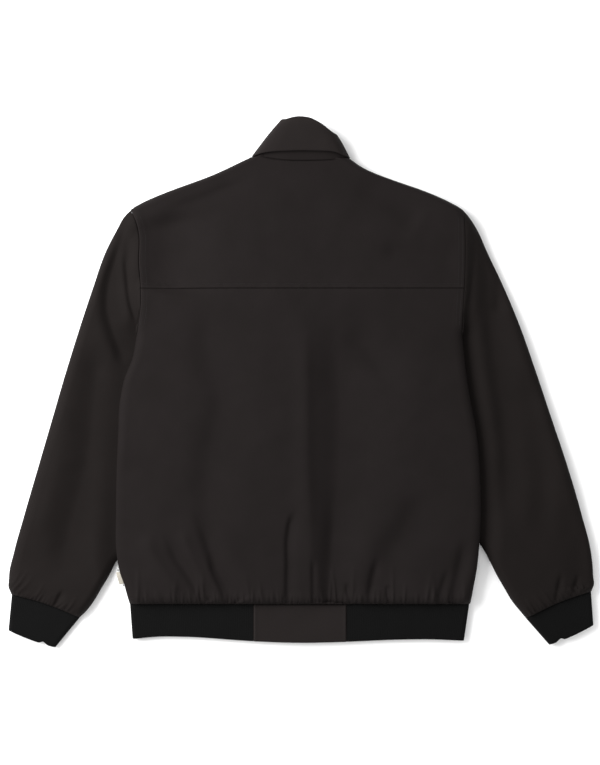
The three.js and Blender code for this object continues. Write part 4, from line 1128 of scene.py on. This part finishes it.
def leafSurface():
    thick = 2 * collar["wall"] + collar["air"]
    radius = thick / 2
    hidden = collar["leafStart"] - body["gap"]    # the leaf starts inside, that far below the roll
    innerPart = (spread(1, 0.25) * hidden)[:, None] + 0 * height
    turn = np.linspace(0, math.pi, collar["foldSteps"])[1:-1][:, None]
    fallShare = rowShares(collar["height"], *collar["leafRows"])
    rise = np.concatenate([height - hidden + innerPart, height + radius * np.sin(turn)])
    offset = np.concatenate([0 * innerPart, radius * (1 - np.cos(turn)) + 0 * height])
    start = collarPoints(frames, height, thick)
    edge, atBack = fallEdge(thick)
    bulge = collar["bulge"] * atBack[None] * np.sin(math.pi * fallShare)
    bulge = bulge + dent((1 - fallShare) * collar["height"], *collar["fallEnd"])
    fall = mix(start, edge[None], fallShare[:, :, None]) + frames["out"][None] * bulge[:, :, None]
    points = np.concatenate([collarPoints(frames, rise, offset), fall])
    onFall = soft(fallShare / collar["rippleRun"])
    onFall = np.concatenate([np.zeros((len(innerPart) + len(turn), 1)), onFall])
    wavy = ripple(collar["seed"], *collar["ripple"])
    points[:, :, 2] += wavy(points[:, :, 0], points[:, :, 1]) * onFall
    # painted light over the whole leaf, and a painted highlight on the roll and the top of the fall
    foldHighlight = collar["paleTone"] + collar["foldHighlight"] * np.sin(turn) ** 2 + 0 * height
    fallHighlight = collar["paleTone"] + dent(fallShare * collar["height"], *collar["edgeWearAndHighlight"]) + 0 * height
    wearAndHighlight = np.concatenate([0 * innerPart, foldHighlight, fallHighlight])
    run = np.concatenate([innerPart, collar["leafStart"] + turn * radius + 0 * height,
                          collar["leafStart"] + collar["turnRun"] + fallShare * height])
    return points, (neckRound[None] + 0 * run, run), wearAndHighlight


points, flat, wearAndHighlight = leafSurface()
leaf = clothPiece("collar_leaf_cloth", points, collar["wall"], shellCloth, flat, wearAndHighlight=wearAndHighlight)
keep(leaf, "collar_leaf")
print("collar made")


# topstitching: rows of lockstitch laid on the cloth

stitch = {"pitch": 3.0, "length": 2.3, "thick": 0.5, "flatness": 0.8, "proud": 0.12, "sides": 6, "rings": 4,
          "above": 200}


def layStitches(bm, tree, line):
    line = np.asarray(line, float)
    steps = np.hypot(*np.diff(line, axis=0).T)
    lengths = np.concatenate([[0], np.cumsum(steps)])
    for at in np.arange(stitch["pitch"] / 2, lengths[-1], stitch["pitch"]):
        px, py = [np.interp([at - 0.5, at, at + 0.5], lengths, line[:, k]) for k in (0, 1)]
        start = Vector((px[1], py[1], stitch["above"])) * millimetre
        spot, normal = tree.ray_cast(start, Vector((0, 0, -1)))[:2]
        if spot is None:
            continue
        normal = normal if normal.z > 0 else -normal
        run = Vector((px[2] - px[0], py[2] - py[0], 0)).normalized()
        run = (run - normal * run.dot(normal)).normalized()
        turn = Matrix((run, normal.cross(run), normal)).transposed().to_4x4()
        size = Matrix.Diagonal((stitch["length"], stitch["thick"], stitch["thick"] * stitch["flatness"], 1))
        place = Matrix.Translation(spot + normal * stitch["proud"] * millimetre) @ turn @ size
        bmesh.ops.create_uvsphere(bm, u_segments=stitch["sides"], v_segments=stitch["rings"],
                                  radius=0.5 * millimetre, matrix=place)


def stitchPiece(name, tree, lines):
    bm = bmesh.new()
    for line in lines:
        layStitches(bm, tree, line)
    piece = addMesh(name, bm, sewingThread)
    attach(piece, "jacket")
    return piece


rowsAt = {"yokeX": (-221, 228, 5.0), "armholeFrom": 82, "armholeTo": 238, "armholeStep": 4.0, "fromYoke": 1,
          "tabIn": 3, "tabY": (-362.5, -317)}


def armholeLines(start, end):
    y = np.arange(start, end, rowsAt["armholeStep"])
    return [np.stack([edgeX(side, y) - side * inset, y], axis=1)
            for side in (-1, 1) for inset in armhole["stitchesAt"]]


yokeFace, panelFace, tabFace = outerFace(backYoke), outerFace(backPanel), outerFace(hemTab)
yokeX = np.arange(*rowsAt["yokeX"])
yokeLine = np.stack([yokeX, np.full(len(yokeX), body["yokeY"] + yokeSeam["stitchAt"])], axis=1)
yokeArms = armholeLines(body["yokeY"] + rowsAt["fromYoke"], rowsAt["armholeTo"])
panelArms = armholeLines(rowsAt["armholeFrom"], body["yokeY"] - rowsAt["fromYoke"])
tabX = tab["half"] - rowsAt["tabIn"]
yokeRow = stitchPiece("yoke_topstitch", yokeFace, [yokeLine])
armRowsYoke = stitchPiece("armhole_topstitch_yoke", yokeFace, yokeArms)
armRowsPanel = stitchPiece("armhole_topstitch_panel", panelFace, panelArms)
tabRow = stitchPiece("hem_tab_topstitch", tabFace, [[(x, y) for y in rowsAt["tabY"]] for x in (-tabX, tabX)])
print("stitches made")


# side label: a folded tab of woven ribbon in the left side seam, with a bar tack at each end

label = {
    "top": -267.5, "foot": -285.0, "reachTop": 5.2, "reachFoot": 6.6, "wall": 0.35, "fold": 0.45, "steps": 9,
    "row": 0.9, "curl": 0.5, "curlRun": 7, "curlReach": 6, "slant": 0.18, "flatReach": 8,
    "tacksAt": (2.0, -2.2), "tackStitches": 5, "tackSize": (2.6, 0.7, 0.7, 1), "tackTurn": 0.5,
    "tackIn": 0.8, "tackStep": (-0.25, 0.35), "tackDown": 0.6,
}


def labelSurface():
    fold = label["fold"]
    y = spread(label["top"] - label["foot"], label["row"])[:, None] + label["foot"]
    share = (y - label["foot"]) / (label["top"] - label["foot"])
    straight = np.linspace(0, 1, label["steps"])
    turn = np.linspace(0, math.pi, label["steps"])[1:-1]
    reach = mix(label["reachFoot"], label["reachTop"], share) - fold
    outX = np.concatenate([reach * straight[None, :], reach + fold * np.sin(turn)[None, :],
                           reach * straight[None, ::-1]], axis=1)
    level = np.full(label["steps"], fold)
    upZ = np.concatenate([level, fold * np.cos(turn), -level])
    curl = label["curl"] * np.sin((y - label["foot"]) / label["curlRun"]) * outX / label["curlReach"]
    z = seamHeight(-1, y) + upZ[None, :] + curl
    x = edgeX(-1, y) + body["gap"] - outX
    flatX = outX + label["flatReach"] * (upZ[None, :] < 0)
    return np.stack([x, y - label["slant"] * outX, z], axis=2), (flatX, y + 0 * outX)


points, flat = labelSurface()
labelPiece = clothPiece("side_label_ribbon", points, label["wall"], labelCloth, flat)
keep(labelPiece, "side_label")
bm = bmesh.new()
for at in (label["top"] + label["tacksAt"][0], label["foot"] + label["tacksAt"][1]):
    x, z = float(edgeX(-1, at)) - label["tackIn"], float(seamHeight(-1, at))
    for k in range(label["tackStitches"]):
        lean = Matrix.Rotation(label["tackTurn"] * (k - label["tackStitches"] // 2), 4, "Z")
        spot = (x + label["tackStep"][0] * k, at - label["tackDown"] + label["tackStep"][1] * k, z)
        place = Matrix.Translation(Vector(spot) * millimetre) @ lean @ Matrix.Diagonal(label["tackSize"])
        bmesh.ops.create_uvsphere(bm, u_segments=8, v_segments=6, radius=0.5 * millimetre, matrix=place)
tacks = addMesh("side_label_bar_tacks", bm, sewingThread)
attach(tacks, "jacket")
print("label made")


# zip: interlocking teeth on the two tapes; slider and pull keep their own shape

zipShape = {"pitch": 3.0, "start": -360, "end": 222.8, "tooth": (3.3, 1.35, 2.3), "z": 6.4, "firstAt": 0.3,
            "fromMiddle": 0.95, "bevel": 0.22}
bm = bmesh.new()
toothSize = Matrix.Diagonal(tuple(v * millimetre for v in zipShape["tooth"]) + (1,))
for k in range(int((zipShape["end"] - zipShape["start"]) / zipShape["pitch"])):
    for side, offset in ((-1, 0.25), (1, 0.75)):    # the two rows stand half a pitch apart
        y = zipShape["start"] + zipShape["pitch"] * (k + offset) + zipShape["firstAt"]
        place = Matrix.Translation(Vector((side * zipShape["fromMiddle"], y, zipShape["z"])) * millimetre)
        bmesh.ops.create_cube(bm, size=1.0, matrix=place @ toothSize)
bmesh.ops.bevel(bm, geom=bm.edges[:], offset=zipShape["bevel"] * millimetre, affect="EDGES", segments=1,
                profile=0.5, material=-1)
teeth = addMesh("zip_teeth", bm, zipMetal, smooth=False)
keep(teeth, "zip_chain")
for node, material in (("zip_tape_left", zipTape), ("zip_tape_right", zipTape), ("zip_slider", zipMetal),
                       ("zip_pull", zipMetal)):
    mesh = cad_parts[node].data
    mesh.materials.clear()
    mesh.materials.append(material)
print("zip made")


# floor, light and camera

studio = {
    "floorShader": {"Base Color": hexColour("fafafa"), "Roughness": 0.9, "Specular IOR Level": 0.1},
    "floorHalf": 4.0, "floorDrop": 0.0004, "world": 0.92, "keyPower": 62, "keySize": 1.2,
    "keyAt": (-1.3, 0.5, 1.15), "lens": 85, "sensor": 36, "view": 1.0863, "centre": (0, 0.0007),
    "plane": 0.015, "farthest": 20,
}
bm = bmesh.new()
bmesh.ops.create_grid(bm, x_segments=1, y_segments=1, size=studio["floorHalf"],
                      matrix=Matrix.Translation((0, 0, -studio["floorDrop"])))
floorMaterial, floorTree = newMaterial("matt_white_board")
floorShader = addNode(floorTree, "ShaderNodeBsdfPrincipled", studio["floorShader"])
addNode(floorTree, "ShaderNodeOutputMaterial", links={"Surface": floorShader})
floor = addMesh("floor", bm, floorMaterial)

scene = bpy.context.scene
world = bpy.data.worlds.new("studio")
world.use_nodes = True
background = world.node_tree.nodes["Background"]
background.inputs["Color"].default_value = (1, 1, 1, 1)
background.inputs["Strength"].default_value = studio["world"]
scene.world = world

lamp = bpy.data.lights.new("key", "AREA")
lamp.energy = studio["keyPower"]
lamp.size = studio["keySize"]
key = bpy.data.objects.new("key", lamp)
key.location = studio["keyAt"]
key.rotation_mode = "QUATERNION"
key.rotation_quaternion = (-Vector(studio["keyAt"])).to_track_quat("-Z", "Y")
scene.collection.objects.link(key)

camera = bpy.data.cameras.new("camera")
camera.lens = studio["lens"]
camera.sensor_width = studio["sensor"]
camera.dof.use_dof = False
camera.clip_end = studio["farthest"]
eye = bpy.data.objects.new("camera", camera)
away = studio["view"] * studio["lens"] / studio["sensor"]
eye.location = (*studio["centre"], studio["plane"] + away)
scene.collection.objects.link(eye)
scene.camera = eye
scene.view_settings.view_transform = "Standard"
print("studio made")
